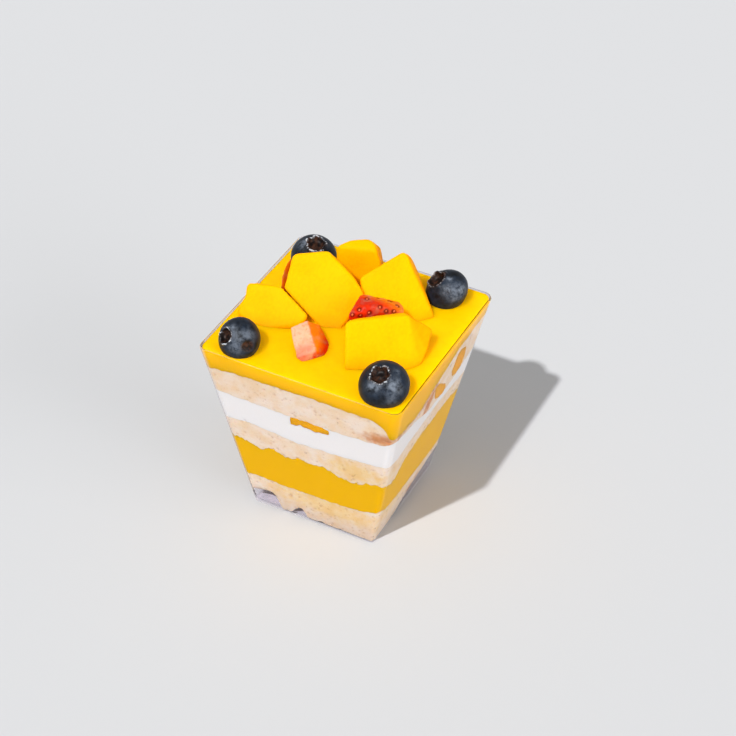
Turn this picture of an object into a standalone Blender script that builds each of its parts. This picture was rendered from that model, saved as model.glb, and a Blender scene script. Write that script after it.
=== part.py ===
"""Mango mini cake, layered in a clear square cup that widens towards its rim.

Units are metres in Blender; the sizes below are millimetres and go through mm().
The origin is the middle of the cup's base on the table, +Z is up, and the cup's
four faces look along +X, -X, +Y and -Y. Front is -Y.
"""
import math

import bmesh
import bpy
from mathutils import Matrix, Vector

# Cup, injection moulded in clear plastic
CUP_TOP = 65.0            # outer width across the rim
CUP_BASE = 40.5           # outer width across the base
CUP_HEIGHT = 64.0
CUP_WALL = 0.7            # measured level, through the wall
CUP_FLOOR = 1.2           # thickness of the base
CUP_CORNER_TOP = 3.0      # radius of the upright edges at the rim
CUP_CORNER_BASE = 1.2     # and at the base
CUP_FOOT_EDGE = 0.7       # rounding round the foot
CORNER_STEPS = 4

GAP = 0.3                 # kept between pieces that touch
FILL_LEVEL = 63.5         # top of the mango puree
SINK = 0.8                # how deep the fruit settles into the puree
POCKET_GAP = 0.35         # the puree's clearance round a berry that sits in it
POCKET_REACH = 0.7        # how far a pocket's corners stand off a cut piece's corners
MANGO_ROUNDING = 0.5
STRAWBERRY_ROUNDING = 0.4

# Mean heights of the faces between the layers
BOTTOM_SPONGE_TOP = 13.2
LOWER_PUREE_TOP = 28.0
MIDDLE_SPONGE_TOP = 37.0
CREAM_TOP = 47.2
TOP_SPONGE_TOP = 58.4
THINNEST_LAYER = 1.2

SIDE_POINTS = 22          # points along each side of a layer's outline
WAVY_RINGS = (0.9, 0.6)   # rings of points inside the outline, as shares of its size
LEVEL_RINGS = ()
OUTLINE_CORNER = 2.4      # for the outline that heights are looked up along

# Colours are linear; roughness and metallic follow
FINISHES = {
    "clear_plastic": ((0.86, 0.86, 0.88), 0.06),
    "sponge": ((0.87, 0.73, 0.55), 0.85),
    "mango_puree": ((1.0, 0.60, 0.0), 0.25),
    "whipped_cream": ((0.90, 0.88, 0.86), 0.55),
    "mango": ((1.0, 0.62, 0.0), 0.35),
    "strawberry": ((0.80, 0.06, 0.01), 0.35),
    "blueberry": ((0.05, 0.07, 0.14), 0.55),
}


def mm(value):
    """Millimetres to metres."""
    return value * 0.001


def outer_half(z):
    """Half the cup's outer width at height z."""
    return (CUP_BASE + (CUP_TOP - CUP_BASE) * z / CUP_HEIGHT) / 2


def fill_half(z):
    """Half the width that the food may take at height z."""
    return outer_half(z) - CUP_WALL - GAP


def cup_corner(z):
    """Radius of the cup's upright edges at height z."""
    return CUP_CORNER_BASE + (CUP_CORNER_TOP - CUP_CORNER_BASE) * z / CUP_HEIGHT


# ---------------------------------------------------------------- scene set-up

def clear_scene():
    """Remove every object, so that the script starts from nothing."""
    for item in list(bpy.data.objects):
        bpy.data.objects.remove(item, do_unlink=True)


def new_collection(name):
    """Make a collection under the scene's own."""
    group = bpy.data.collections.new(name)
    bpy.context.scene.collection.children.link(group)
    return group


def make_material(name):
    """A plain Principled material from the table of finishes."""
    colour, roughness = FINISHES[name]
    material = bpy.data.materials.new(name)
    material.use_nodes = True
    shader = material.node_tree.nodes["Principled BSDF"]
    shader.inputs["Base Color"].default_value = (*colour, 1.0)
    shader.inputs["Roughness"].default_value = roughness
    shader.inputs["Metallic"].default_value = 0.0
    return material


def add_object(name, mesh, group, material=None):
    """Put a mesh into a collection as a named object."""
    item = bpy.data.objects.new(name, mesh)
    group.objects.link(item)
    if material:
        mesh.materials.clear()
        mesh.materials.append(material)
    return item


def mesh_from(bm, name):
    """Close a bmesh into a mesh whose faces point out."""
    bmesh.ops.recalc_face_normals(bm, faces=bm.faces)
    mesh = bpy.data.meshes.new(name)
    bm.to_mesh(mesh)
    bm.free()
    return mesh


def evaluated_mesh(item):
    """The object's mesh with its modifiers applied, in world space."""
    bpy.context.view_layer.update()
    graph = bpy.context.evaluated_depsgraph_get()
    mesh = bpy.data.meshes.new_from_object(item.evaluated_get(graph))
    mesh.transform(item.matrix_world)
    return mesh


def bake_modifiers(item):
    """Turn an object's modifiers and place into plain mesh."""
    mesh = evaluated_mesh(item)
    item.modifiers.clear()
    item.data = mesh
    item.matrix_world = Matrix()


def hide_cutter(name, mesh, group):
    """Add a cutting shape that is no piece of the object."""
    cutter = add_object("cut_" + name, mesh, group)
    cutter.hide_render = True
    cutter.display_type = "WIRE"


def add_cutter(item, group, clearance):
    """A hidden copy of a smooth piece, fatter by the clearance."""
    mesh = evaluated_mesh(item)
    normals = [vertex.normal.copy() for vertex in mesh.vertices]
    for vertex, normal in zip(mesh.vertices, normals):
        vertex.co += normal * mm(clearance)
    hide_cutter(item.name, mesh, group)


def cut_with(item, cutter_group):
    """Take every cutter of a collection out of an object."""
    cut = item.modifiers.new("pockets", "BOOLEAN")
    cut.operation = "DIFFERENCE"
    cut.operand_type = "COLLECTION"
    cut.collection = cutter_group
    bake_modifiers(item)


def add_bevel(item, width, segments, angle=25.0):
    """Round an object's edges."""
    bevel = item.modifiers.new("rounding", "BEVEL")
    bevel.width = mm(width)
    bevel.segments = segments
    bevel.limit_method = "ANGLE"
    bevel.angle_limit = math.radians(angle)
    return bevel


# ------------------------------------------------------------------------- cup

def square_ring(bm, half, z, corner):
    """Points of a square with rounded corners, from its front right corner on."""
    ring = []
    for side in range(4):
        turn = Matrix.Rotation(math.radians(90 * side), 2)
        for part in range(CORNER_STEPS + 1):
            angle = math.radians(90 * part / CORNER_STEPS)
            spot = turn @ Vector((half - corner + corner * math.sin(angle),
                                  corner - half - corner * math.cos(angle)))
            ring.append(bm.verts.new((mm(spot.x), mm(spot.y), mm(z))))
    return ring


def tapered_block(bottom, top, inset):
    """The cup's own shape between two heights, drawn in level by the inset."""
    bm = bmesh.new()
    low, high = (square_ring(bm, outer_half(z) - inset, z, cup_corner(z) - inset)
                 for z in (bottom, top))
    count = len(low)
    for index in range(count):
        following = (index + 1) % count
        bm.faces.new((low[index], low[following], high[following], high[index]))
    bm.faces.new(low)
    bm.faces.new(high)
    bmesh.ops.recalc_face_normals(bm, faces=bm.faces)
    return bm


def build_cup(parts, cutters, material):
    """The clear cup: a tapered shell with a thicker base and a rounded foot."""
    body = tapered_block(0, CUP_HEIGHT, 0)
    foot = [edge for edge in body.edges
            if all(vertex.co.z < mm(0.01) for vertex in edge.verts)]
    bmesh.ops.bevel(body, geom=foot, offset=mm(CUP_FOOT_EDGE), segments=2,
                    profile=0.5, affect="EDGES")
    cup = add_object("cup", mesh_from(body, "cup"), parts, material)

    hollow = tapered_block(CUP_FLOOR, CUP_HEIGHT + 4, CUP_WALL)
    hide_cutter("cup_hollow", mesh_from(hollow, "cut_cup_hollow"), cutters)
    cut_with(cup, cutters)
    return cup


# ---------------------------------------------------------------------- layers
# A face between two layers is a height over (u, v), each from -1 to 1 across the cup.

def hump(u, v, at, width, height):
    """A smooth rise, or a hollow where the height is negative."""
    du = (u - at[0]) / width[0]
    dv = (v - at[1]) / width[1]
    return height * math.exp(-du * du - dv * dv)


def step(value, start, softness):
    """From 0 to 1 as the value passes the start."""
    return 0.5 + 0.5 * math.tanh((value - start) / softness)


def wander(u, v, size, turns, phase):
    """The slight unevenness of a layer spread by hand."""
    return size * (math.sin(turns * u + phase) * math.cos(0.8 * turns * v - phase)
                   + 0.5 * math.sin(1.9 * turns * v + 2.3 * phase + turns * u))


def floor_of_food(u, v):
    """Underside of the lowest sponge, with the air pockets under its edge."""
    pocket_left = hump(u, v, (-0.8, -1.0), (0.13, 0.16), 4.6)
    pocket_middle = hump(u, v, (-0.13, -1.0), (0.09, 0.12), 1.8)
    pocket_side = hump(u, v, (1.0, 0.7), (0.16, 0.26), 5.0)
    return CUP_FLOOR + GAP + pocket_left + pocket_middle + pocket_side


def bottom_sponge_top(u, v):
    """Lowest sponge to lower puree."""
    return (BOTTOM_SPONGE_TOP + wander(u, v, 0.25, 5.0, 0.4)
            + hump(u, v, (1.0, -1.0), (0.45, 0.4), 2.6)
            + hump(u, v, (1.0, 0.4), (0.5, 0.7), -1.8))


def lower_puree_top(u, v):
    """Lower puree to middle sponge: the puree rises between the crumbs."""
    return (LOWER_PUREE_TOP + wander(u, v, 0.7, 9.0, 1.1)
            + hump(u, v, (1.0, 0.2), (0.5, 0.7), 3.6)
            + hump(u, v, (-1.0, -1.0), (0.25, 0.25), 1.2))


def middle_sponge_top(u, v):
    """Middle sponge to cream."""
    return (MIDDLE_SPONGE_TOP + wander(u, v, 0.35, 6.0, 2.0)
            + hump(u, v, (0.95, -1.0), (0.3, 0.2), 1.5)
            + hump(u, v, (1.0, 0.1), (0.4, 0.4), -1.0)
            + hump(u, v, (-0.08, -1.0), (0.25, 0.5), -0.9))


def cream_top(u, v):
    """Cream to top sponge: the sponge sags where no fruit holds it up."""
    return (CREAM_TOP + wander(u, v, 0.3, 5.0, 0.9)
            + 1.5 * u * u * step(-v, 0.0, 0.3)
            + hump(u, v, (-1.0, -1.0), (0.2, 0.25), 2.0)
            + hump(u, v, (1.0, -0.95), (0.2, 0.14), 1.4)
            + hump(u, v, (1.0, 0.2), (0.3, 0.2), -3.4))


def top_sponge_top(u, v):
    """Top sponge to the puree above it, which runs down at one front corner."""
    corner_run = step(u, 0.9, 0.07) * step(-v, 0.02, 0.05)
    return (TOP_SPONGE_TOP + wander(u, v, 0.3, 7.0, 0.2)
            - 5.6 * corner_run
            - hump(u, v, (1.0, -1.0), (0.12, 0.12), 3.0)
            + hump(u, v, (1.0, 0.5), (0.4, 0.3), 0.7))


def fill_surface(_u, _v):
    """The level top of the puree."""
    return FILL_LEVEL


def square_outline():
    """Corner angle of a rounded square, as a point and the corner it bends round."""
    outline = []
    for side in range(4):
        turn = Matrix.Rotation(math.radians(90 * side), 2)
        for index in range(SIDE_POINTS):
            along = -1 + 2 * index / (SIDE_POINTS - 1)
            outline.append((turn, along))
    return outline


def outline_point(turn, along, half, corner=OUTLINE_CORNER):
    """A point of the rounded square with the given half width, in millimetres."""
    straight = half - corner
    reach = abs(along) * half
    if reach <= straight:
        x, y = reach, half
    else:
        share = (reach - straight) / corner
        bend = share * math.radians(42)
        x = straight + corner * math.sin(bend)
        y = straight + corner * math.cos(bend)
    return turn @ Vector((math.copysign(x, along), -y))


def layer_cap(bm, surface, offset, scales):
    """One face of a layer, as rings from the wall to the middle."""
    outline = square_outline()
    nominal = 1.0 / 30.0
    rings = []
    for scale in (1.0, *scales):
        ring = []
        for turn, along in outline:
            uv = outline_point(turn, along, 30.0) * nominal * scale
            z = surface(uv.x, uv.y) + offset
            xy = outline_point(turn, along, fill_half(z), cup_corner(z)) * scale
            ring.append(bm.verts.new((mm(xy.x), mm(xy.y), mm(z))))
        rings.append(ring)
    middle = bm.verts.new((0, 0, mm(surface(0.0, 0.0) + offset)))
    count = len(outline)
    for outer, inner in zip(rings, rings[1:]):
        for index in range(count):
            following = (index + 1) % count
            bm.faces.new((outer[index], outer[following], inner[following], inner[index]))
    for index in range(count):
        bm.faces.new((rings[-1][index], rings[-1][(index + 1) % count], middle))
    return rings[0]


def build_layer(name, under, over, group, material, upper_rings=WAVY_RINGS):
    """A layer between two faces, reaching the cup's wall all round."""
    def top(u, v):
        return max(over(u, v) - GAP / 2, under(u, v) + GAP / 2 + THINNEST_LAYER)

    bm = bmesh.new()
    lower = layer_cap(bm, under, GAP / 2, WAVY_RINGS)
    upper = layer_cap(bm, top, 0.0, upper_rings)
    count = len(lower)
    for index in range(count):
        following = (index + 1) % count
        bm.faces.new((lower[index], lower[following], upper[following], upper[index]))
    return add_object(name, mesh_from(bm, name), group, material)


def above_layer(surface, under):
    """A face that stays clear of a thin layer below it."""
    def lifted(u, v):
        return max(surface(u, v), under(u, v) + GAP + THINNEST_LAYER)
    return lifted


# ------------------------------------------------------------- cut fruit pieces

FLAT_ANGLE = 6.0          # faces closer than this in direction are one knife cut


def hull_of(corners):
    """The flat-faced solid between corners given in millimetres."""
    bm = bmesh.new()
    points = [bm.verts.new([mm(value) for value in corner]) for corner in corners]
    hull = bmesh.ops.convex_hull(bm, input=points)
    inside = set(hull["geom_interior"]) | set(hull["geom_unused"])
    loose = [part for part in inside if isinstance(part, bmesh.types.BMVert)]
    bmesh.ops.delete(bm, geom=loose, context="VERTS")
    bmesh.ops.dissolve_limit(bm, angle_limit=math.radians(FLAT_ANGLE),
                             verts=bm.verts, edges=bm.edges)
    return bm


def cut_piece(name, corners, rounding, group, material):
    """A piece of fruit cut with a knife: flat faces between corners, softened edges."""
    item = add_object(name, mesh_from(hull_of(corners), name), group, material)
    add_bevel(item, rounding, 2, FLAT_ANGLE + 4)
    bake_modifiers(item)
    return item


def add_pocket(name, corners, group):
    """A cutter round a cut piece: its corners moved out from its middle."""
    middle = sum((Vector(corner) for corner in corners), Vector()) / len(corners)
    spread = []
    for corner in corners:
        ray = Vector(corner) - middle
        spread.append(middle + ray * (1 + POCKET_REACH / ray.length))
    hide_cutter(name, mesh_from(hull_of(spread), name), group)


def build_chip(name, side, along, height, size, turn, group, material):
    """A small mango dice set in the cream, one face against the wall.

    The side counts quarter turns from the front; the size is width, depth and height,
    and the turn is how far the dice lies tipped over to the right, in degrees.
    """
    lean = math.atan((CUP_TOP - CUP_BASE) / 2 / CUP_HEIGHT)
    inward = size[1] / 2 * math.cos(lean)
    place = Vector((mm(along), mm(inward + GAP / 2 - fill_half(height)), mm(height)))
    bm = bmesh.new()
    bmesh.ops.create_cube(bm, size=1.0)
    for vertex in bm.verts:
        vertex.co = Vector([mm(length) * part for length, part in zip(size, vertex.co)])
    item = add_object(name, mesh_from(bm, name), group, material)
    item.matrix_world = (Matrix.Rotation(math.radians(90 * side), 4, "Z")
                         @ Matrix.Translation(place) @ Matrix.Rotation(lean, 4, "X")
                         @ Matrix.Rotation(math.radians(turn), 4, "Y"))
    add_bevel(item, 0.8, 2)
    bake_modifiers(item)
    return item


PUREE_BED = FILL_LEVEL - SINK

MANGO_PIECES = {
    "mango_left": (
        (-29.7, -13.9, 65.4), (-29.4, -7.7, 71.4), (-25.6, -6.2, 72.1), (-19.2, -4.6, 72.3),
        (-8.7, -7.5, 67.5), (-10.6, -9.9, 65.5), (-20.7, -14.5, PUREE_BED),
        (-29.3, -13.0, PUREE_BED), (-11.0, -10.3, PUREE_BED), (-28.6, -3.8, 70.2),
        (-21.8, -5.4, 71.0), (-28.3, -3.6, PUREE_BED), (-23.0, -3.8, PUREE_BED),
        (-12.0, -7.8, PUREE_BED)),
    "mango_middle": (
        (-4.9, -6.6, PUREE_BED), (-0.4, -4.8, PUREE_BED), (-3.2, 1.4, 69.4),
        (-11.6, 8.9, 79.4), (-20.8, 3.9, 78.2), (-19.8, -3.4, 71.0), (-10.8, -4.8, 66.4),
        (-7.8, 9.3, 76.4), (-1.6, 7.0, 74.0), (2.5, 5.7, 70.5), (0.3, 0.4, 67.0),
        (-0.2, -1.3, 64.0), (-18.5, 8.0, 76.5), (-12.0, 14.0, 74.0), (-6.0, 13.5, 71.0),
        (-16.5, 8.0, PUREE_BED), (-7.0, 12.5, PUREE_BED), (-4.0, 3.0, PUREE_BED)),
    "mango_right": (
        (9.7, -21.2, PUREE_BED), (25.6, -11.8, PUREE_BED), (20.4, -3.0, 75.4),
        (5.0, -12.3, 73.8), (26.0, 2.6, 68.9), (27.4, -3.6, 65.5), (27.6, -8.6, PUREE_BED),
        (6.0, -8.8, 72.8), (18.0, -0.8, 74.4), (5.0, -8.0, PUREE_BED),
        (22.6, 3.6, PUREE_BED), (13.0, -0.6, PUREE_BED)),
    "mango_behind": (
        (17.2, 8.1, PUREE_BED), (8.2, 18.6, 80.0), (-1.8, 9.6, 72.5), (4.6, 4.0, PUREE_BED),
        (10.3, 18.0, 78.6), (11.8, 18.3, 75.1), (16.0, 16.7, 70.0), (19.1, 15.3, 66.5),
        (22.1, 13.9, PUREE_BED), (12.4, 21.2, PUREE_BED), (3.6, 19.6, PUREE_BED),
        (3.2, 13.0, PUREE_BED), (0.4, 14.0, 71.0), (2.4, 19.4, 72.4), (9.2, 21.8, 77.0),
        (12.6, 21.0, 72.0)),
    "mango_back": (
        (-13.9, 18.8, 74.0), (-11.0, 21.6, 75.4), (-7.9, 22.8, 76.3), (-5.7, 24.0, 76.3),
        (-3.3, 22.9, 76.2), (-1.3, 20.6, 75.6), (0.4, 20.1, 72.0), (-13.2, 17.2, PUREE_BED),
        (-12.0, 26.5, PUREE_BED), (-1.0, 27.0, PUREE_BED), (0.0, 18.2, PUREE_BED),
        (-11.0, 26.0, 71.0), (-3.0, 26.8, 72.5)),
}

STRAWBERRY_PIECES = {
    "strawberry_middle": (
        (3.6, -8.0, 72.4), (3.2, -4.4, 73.0), (3.0, 1.4, 74.0), (5.6, 2.6, 72.9),
        (9.5, 5.2, 72.1), (13.9, 5.6, 72.2), (16.2, 3.6, 72.0), (17.0, 1.6, 72.4),
        (10.2, -2.2, 74.3), (6.6, -3.9, 74.4), (13.2, 1.0, 74.2), (4.4, -6.4, 66.0),
        (4.6, -1.0, 64.6), (6.6, 3.4, 64.6), (12.8, 6.0, 65.0), (14.8, 2.6, 65.0),
        (8.8, -2.4, 64.6)),
    "strawberry_front": (
        (-11.0, -15.4, 68.0), (-7.6, -11.3, 69.0), (0.0, -20.1, 67.0), (-4.2, -23.7, 65.0),
        (-4.9, -8.4, 66.5), (-2.3, -10.6, 65.5), (0.4, -12.2, 63.5), (1.9, -16.4, PUREE_BED),
        (-2.5, -22.5, PUREE_BED), (-5.4, -21.2, PUREE_BED), (-9.4, -13.6, PUREE_BED),
        (-6.0, -10.6, PUREE_BED)),
    "strawberry_left": (
        (-22.9, 5.5, 75.0), (-23.3, 2.9, 74.0), (-22.9, -0.2, 72.5), (-22.1, -1.8, 70.5),
        (-21.0, -1.6, 68.5), (-23.5, -1.5, PUREE_BED), (-20.6, -1.0, PUREE_BED),
        (-20.2, 7.6, PUREE_BED), (-24.0, 8.4, PUREE_BED), (-23.6, 7.8, 71.0),
        (-21.9, 6.5, 74.0)),
}

# Name, side, place along it, middle height, and size of each dice that shows through the wall
CHIPS = (
    ("mango_chip_front", 0, 1.4, 46.0, (12.6, 7.0, 3.4), 0),
    ("mango_chip_right", 1, 3.6, 47.0, (10.4, 6.0, 4.4), 38),
    ("mango_chip_far_right", 1, 15.2, 49.7, (9.4, 7.0, 11.2), 0),
    ("mango_chip_back", 2, 7.0, 46.0, (10.0, 7.0, 4.2), 0),
    ("mango_chip_left", 3, 4.0, 46.4, (9.0, 7.0, 4.4), 0),
)


# ----------------------------------------------------------- strawberry's seeds

SEED_SPACING = 3.1
SEED_LENGTH = 1.25
SEED_WIDTH = 0.85
SEED_RISE = 0.2
SKIN_FACING = (0.25, -0.5, 0.83)


def skin_points(item, facing, margin):
    """Places for seeds: a slanted grid laid over the faces that look one way."""
    mesh = item.data
    facing = Vector(facing).normalized()
    across = facing.cross(Vector((0, 0, 1))).normalized()
    upward = across.cross(facing)
    faces = [polygon for polygon in mesh.polygons if polygon.normal.dot(facing) > 0.72]
    centre = sum((polygon.center for polygon in faces), Vector()) / len(faces)
    places = []
    for row in range(-3, 4):
        for column in range(-4, 5):
            shift = 0.5 * (row % 2)
            target = (centre + across * mm((column + shift) * SEED_SPACING)
                      + upward * mm(row * SEED_SPACING * 0.8))
            hit, place, normal, _index = item.ray_cast(target + facing * mm(20), -facing)
            if hit and normal.dot(facing) > 0.72 and clear_of_edge(item, target, facing, margin):
                places.append((place, normal))
    return places


def clear_of_edge(item, target, facing, margin):
    """Whether the skin goes on for the margin all round a place."""
    across = facing.orthogonal().normalized()
    for quarter in range(6):
        side = Matrix.Rotation(math.radians(60 * quarter), 3, facing) @ across
        start = target + side * mm(margin) + facing * mm(20)
        hit, _place, normal, _index = item.ray_cast(start, -facing)
        if not hit or normal.dot(facing) < 0.55:
            return False
    return True


def fuse_seeds(item, facing):
    """Fuse small oval seeds to a strawberry's skin."""
    seeds = bpy.data.collections.new("seeds")
    bpy.context.scene.collection.children.link(seeds)
    for number, (place, normal) in enumerate(skin_points(item, facing, 1.1)):
        bm = bmesh.new()
        bmesh.ops.create_icosphere(bm, subdivisions=1, radius=0.5)
        for vertex in bm.verts:
            vertex.co = Vector((mm(SEED_WIDTH) * vertex.co.x, mm(SEED_LENGTH) * vertex.co.y,
                                mm(SEED_WIDTH) * vertex.co.z))
        seed = add_object("seed_%d" % number, mesh_from(bm, "seed"), seeds)
        seed.location = place + normal * mm(SEED_RISE - SEED_WIDTH / 2 + 0.1)
        seed.rotation_mode = "QUATERNION"
        seed.rotation_quaternion = normal.to_track_quat("Z", "Y")
    join = item.modifiers.new("seeds", "BOOLEAN")
    join.operation = "UNION"
    join.operand_type = "COLLECTION"
    join.collection = seeds
    bake_modifiers(item)
    for seed in list(seeds.objects):
        bpy.data.objects.remove(seed, do_unlink=True)
    bpy.data.collections.remove(seeds)


# ------------------------------------------------------------------ blueberries

BERRY_STEPS = 20
CROWN_LOBES = 5

# Name, middle, radius, half height, and the way its crown looks
BERRIES = (
    ("blueberry_left", (-21.6, -25.4, 66.3), 6.3, 5.7, (-0.40, -0.52, 0.75)),
    ("blueberry_front", (23.8, -24.4, 66.6), 7.3, 6.1, (-0.02, -0.35, 0.94)),
    ("blueberry_right", (20.1, 24.5, 66.0), 6.7, 5.6, (-0.22, -0.38, 0.90)),
    ("blueberry_back", (-22.1, 19.9, 66.8), 7.1, 6.2, (0.24, -0.18, 0.95)),
)


def berry_profile(radius, half_height):
    """Half outline of a blueberry from the middle of its crown to its foot."""
    crown = 0.44 * radius
    points = [(0.0, half_height - 1.5), (0.55 * crown, half_height - 1.3),
              (0.85 * crown, half_height - 0.5), (crown, half_height + 0.15),
              (1.18 * crown, half_height - 0.15)]
    for angle in (50, 34, 16, -2, -20, -38, -56, -74):
        points.append((radius * math.cos(math.radians(angle)),
                       half_height * math.sin(math.radians(angle))))
    points.append((0.0, -half_height))
    return points


def build_berry(name, middle, radius, half_height, crown_way, group, material):
    """A blueberry: a turned body with a ragged five-lobed crown."""
    points = berry_profile(radius, half_height)
    mesh = bpy.data.meshes.new(name)
    mesh.from_pydata([(mm(r), 0, mm(z)) for r, z in points],
                     [(index, index + 1) for index in range(len(points) - 1)], [])
    item = add_object(name, mesh, group, material)
    screw = item.modifiers.new("turned", "SCREW")
    screw.steps = BERRY_STEPS
    screw.render_steps = BERRY_STEPS
    screw.use_merge_vertices = True
    screw.merge_threshold = 0.00001
    bake_modifiers(item)

    crown = 0.44 * radius
    for vertex in item.data.vertices:
        spread = math.hypot(vertex.co.x, vertex.co.y) / mm(crown)
        if vertex.co.z > 0 and 0.8 < spread < 1.1:
            lobe = math.cos(CROWN_LOBES * math.atan2(vertex.co.y, vertex.co.x))
            vertex.co.z += mm(0.18) * lobe
            vertex.co.x *= 1 + 0.1 * lobe
            vertex.co.y *= 1 + 0.1 * lobe
    turn = Vector(crown_way).to_track_quat("Z", "Y").to_matrix().to_4x4()
    item.data.transform(Matrix.Translation([mm(value) for value in middle]) @ turn)
    item.data.shade_smooth()
    bm = bmesh.new()
    bm.from_mesh(item.data)
    bmesh.ops.recalc_face_normals(bm, faces=bm.faces)
    bm.to_mesh(item.data)
    bm.free()
    return item


# ------------------------------------------------------------------------ whole

def build_layers(parts, materials, chip_cutters, topping_cutters):
    """The six layers, from the base of the cup to its rim."""
    sponge = materials["sponge"]
    puree = materials["mango_puree"]
    build_layer("sponge_bottom", floor_of_food, bottom_sponge_top, parts, sponge)
    build_layer("puree_lower", bottom_sponge_top, lower_puree_top, parts, puree)
    build_layer("sponge_middle", lower_puree_top, middle_sponge_top, parts, sponge)
    cream = build_layer("cream", middle_sponge_top, cream_top, parts, materials["whipped_cream"])
    top_sponge = build_layer("sponge_top", cream_top, top_sponge_top, parts, sponge)
    rest = above_layer(top_sponge_top, cream_top)
    puree_top = build_layer("puree_top", rest, fill_surface, parts, puree, LEVEL_RINGS)
    cut_with(cream, chip_cutters)
    cut_with(top_sponge, chip_cutters)
    cut_with(puree_top, topping_cutters)


def main():
    """Build every piece of the cake and its cup."""
    clear_scene()
    parts = new_collection("mini_cake")
    cup_cutters = new_collection("cutters_cup")
    chip_cutters = new_collection("cutters_chips")
    topping_cutters = new_collection("cutters_toppings")
    materials = {name: make_material(name) for name in FINISHES}

    build_cup(parts, cup_cutters, materials["clear_plastic"])
    for name, *shape in CHIPS:
        chip = build_chip(name, *shape, parts, materials["mango"])
        add_cutter(chip, chip_cutters, GAP)
    for name, corners in MANGO_PIECES.items():
        cut_piece(name, corners, MANGO_ROUNDING, parts, materials["mango"])
        add_pocket(name, corners, topping_cutters)
    for name, corners in STRAWBERRY_PIECES.items():
        piece = cut_piece(name, corners, STRAWBERRY_ROUNDING, parts, materials["strawberry"])
        add_pocket(name, corners, topping_cutters)
        if name == "strawberry_middle":
            fuse_seeds(piece, SKIN_FACING)
    for name, middle, radius, half_height, crown_way in BERRIES:
        berry = build_berry(name, middle, radius, half_height, crown_way, parts,
                            materials["blueberry"])
        add_cutter(berry, topping_cutters, POCKET_GAP)
    build_layers(parts, materials, chip_cutters, topping_cutters)


main()
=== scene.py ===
import logging
import math
from dataclasses import dataclass, field
from enum import Enum

import bmesh
import bpy
import numpy as np
from mathutils import Matrix, Vector, noise
from mathutils.bvhtree import BVHTree


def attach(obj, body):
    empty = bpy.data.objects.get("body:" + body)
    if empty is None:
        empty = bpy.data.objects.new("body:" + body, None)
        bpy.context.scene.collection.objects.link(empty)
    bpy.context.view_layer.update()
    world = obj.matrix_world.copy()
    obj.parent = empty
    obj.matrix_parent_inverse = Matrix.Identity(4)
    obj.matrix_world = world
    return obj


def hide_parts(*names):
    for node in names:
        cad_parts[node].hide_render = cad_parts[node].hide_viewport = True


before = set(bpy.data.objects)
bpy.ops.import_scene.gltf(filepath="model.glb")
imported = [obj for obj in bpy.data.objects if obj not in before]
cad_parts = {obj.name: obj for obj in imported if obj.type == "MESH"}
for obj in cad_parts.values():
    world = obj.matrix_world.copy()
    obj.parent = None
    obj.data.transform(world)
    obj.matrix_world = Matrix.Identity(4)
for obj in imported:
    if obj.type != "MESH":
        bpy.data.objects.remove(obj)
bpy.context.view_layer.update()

# Mango mini cake in its clear square cup. Sizes in the classes are millimetres and go
# through mm(); meshes are in metres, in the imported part's frame: the origin is under the
# middle of the cup, +Z is up, and the front of the cup looks along -Y.

LOG = logging.getLogger("mini_cake")
BODY = "root"

Knots = tuple[tuple[float, float], ...]
Point = tuple[float, float, float]
Row = tuple[float, float, float]     # radius, height, and how much it belongs to a crown


def mm(value: float) -> float:
    """Millimetres to metres."""
    return value * 0.001


def per_mm(size: float) -> float:
    """A pattern's scale, from the real size of one of its cells in millimetres."""
    return 1000.0 / size


def linear(hex_code: str) -> tuple[float, float, float, float]:
    """Turn an sRGB hex colour into linear light.

    Args:
        hex_code: six hex digits.

    Returns:
        Red, green, blue and an alpha of one.
    """
    parts = [int(hex_code[at:at + 2], 16) / 255 for at in (0, 2, 4)]
    lit = [part / 12.92 if part <= 0.04045 else ((part + 0.055) / 1.055) ** 2.4
           for part in parts]
    return (*lit, 1.0)


# ------------------------------------------------------------------ mesh and nodes

def add_node(tree: bpy.types.NodeTree, kind: str, inputs: dict | None = None,
             **settings: object) -> bpy.types.Node:
    """Add a node with its settings, values and links.

    Args:
        tree: the tree that takes the node.
        kind: Blender's name of the node type.
        inputs: a value, or a socket to link from, for each named or numbered input.
        settings: the node's own properties.

    Returns:
        The new node.
    """
    node = tree.nodes.new(kind)
    for name, value in settings.items():
        setattr(node, name, value)
    for name, value in (inputs or {}).items():
        if isinstance(value, bpy.types.NodeSocket):
            tree.links.new(value, node.inputs[name])
        else:
            node.inputs[name].default_value = value
    return node


def add_object(name: str, mesh: bpy.types.Mesh) -> bpy.types.Object:
    """Link a mesh to the scene.

    Args:
        name: the object's name.
        mesh: the mesh it shows.

    Returns:
        The object.
    """
    item = bpy.data.objects.new(name, mesh)
    bpy.context.scene.collection.objects.link(item)
    return item


def mesh_of(name: str, points: np.ndarray, faces: list[tuple[int, ...]],
            crease: float | None = None) -> bpy.types.Mesh:
    """Make a smooth, closed mesh whose faces point outwards.

    Args:
        name: the mesh's name.
        points: the corners, in metres.
        faces: the corners' numbers of each face.
        crease: edges that bend more than this, in degrees, stay sharp.

    Returns:
        The mesh.
    """
    mesh = bpy.data.meshes.new(name)
    mesh.from_pydata(points.tolist(), [], faces)
    bm = bmesh.new()
    bm.from_mesh(mesh)
    bmesh.ops.recalc_face_normals(bm, faces=bm.faces)
    bm.to_mesh(mesh)
    bm.free()
    mesh.shade_smooth()
    if crease is not None:
        mesh.set_sharp_from_angle(angle=math.radians(crease))
    return mesh


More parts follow.
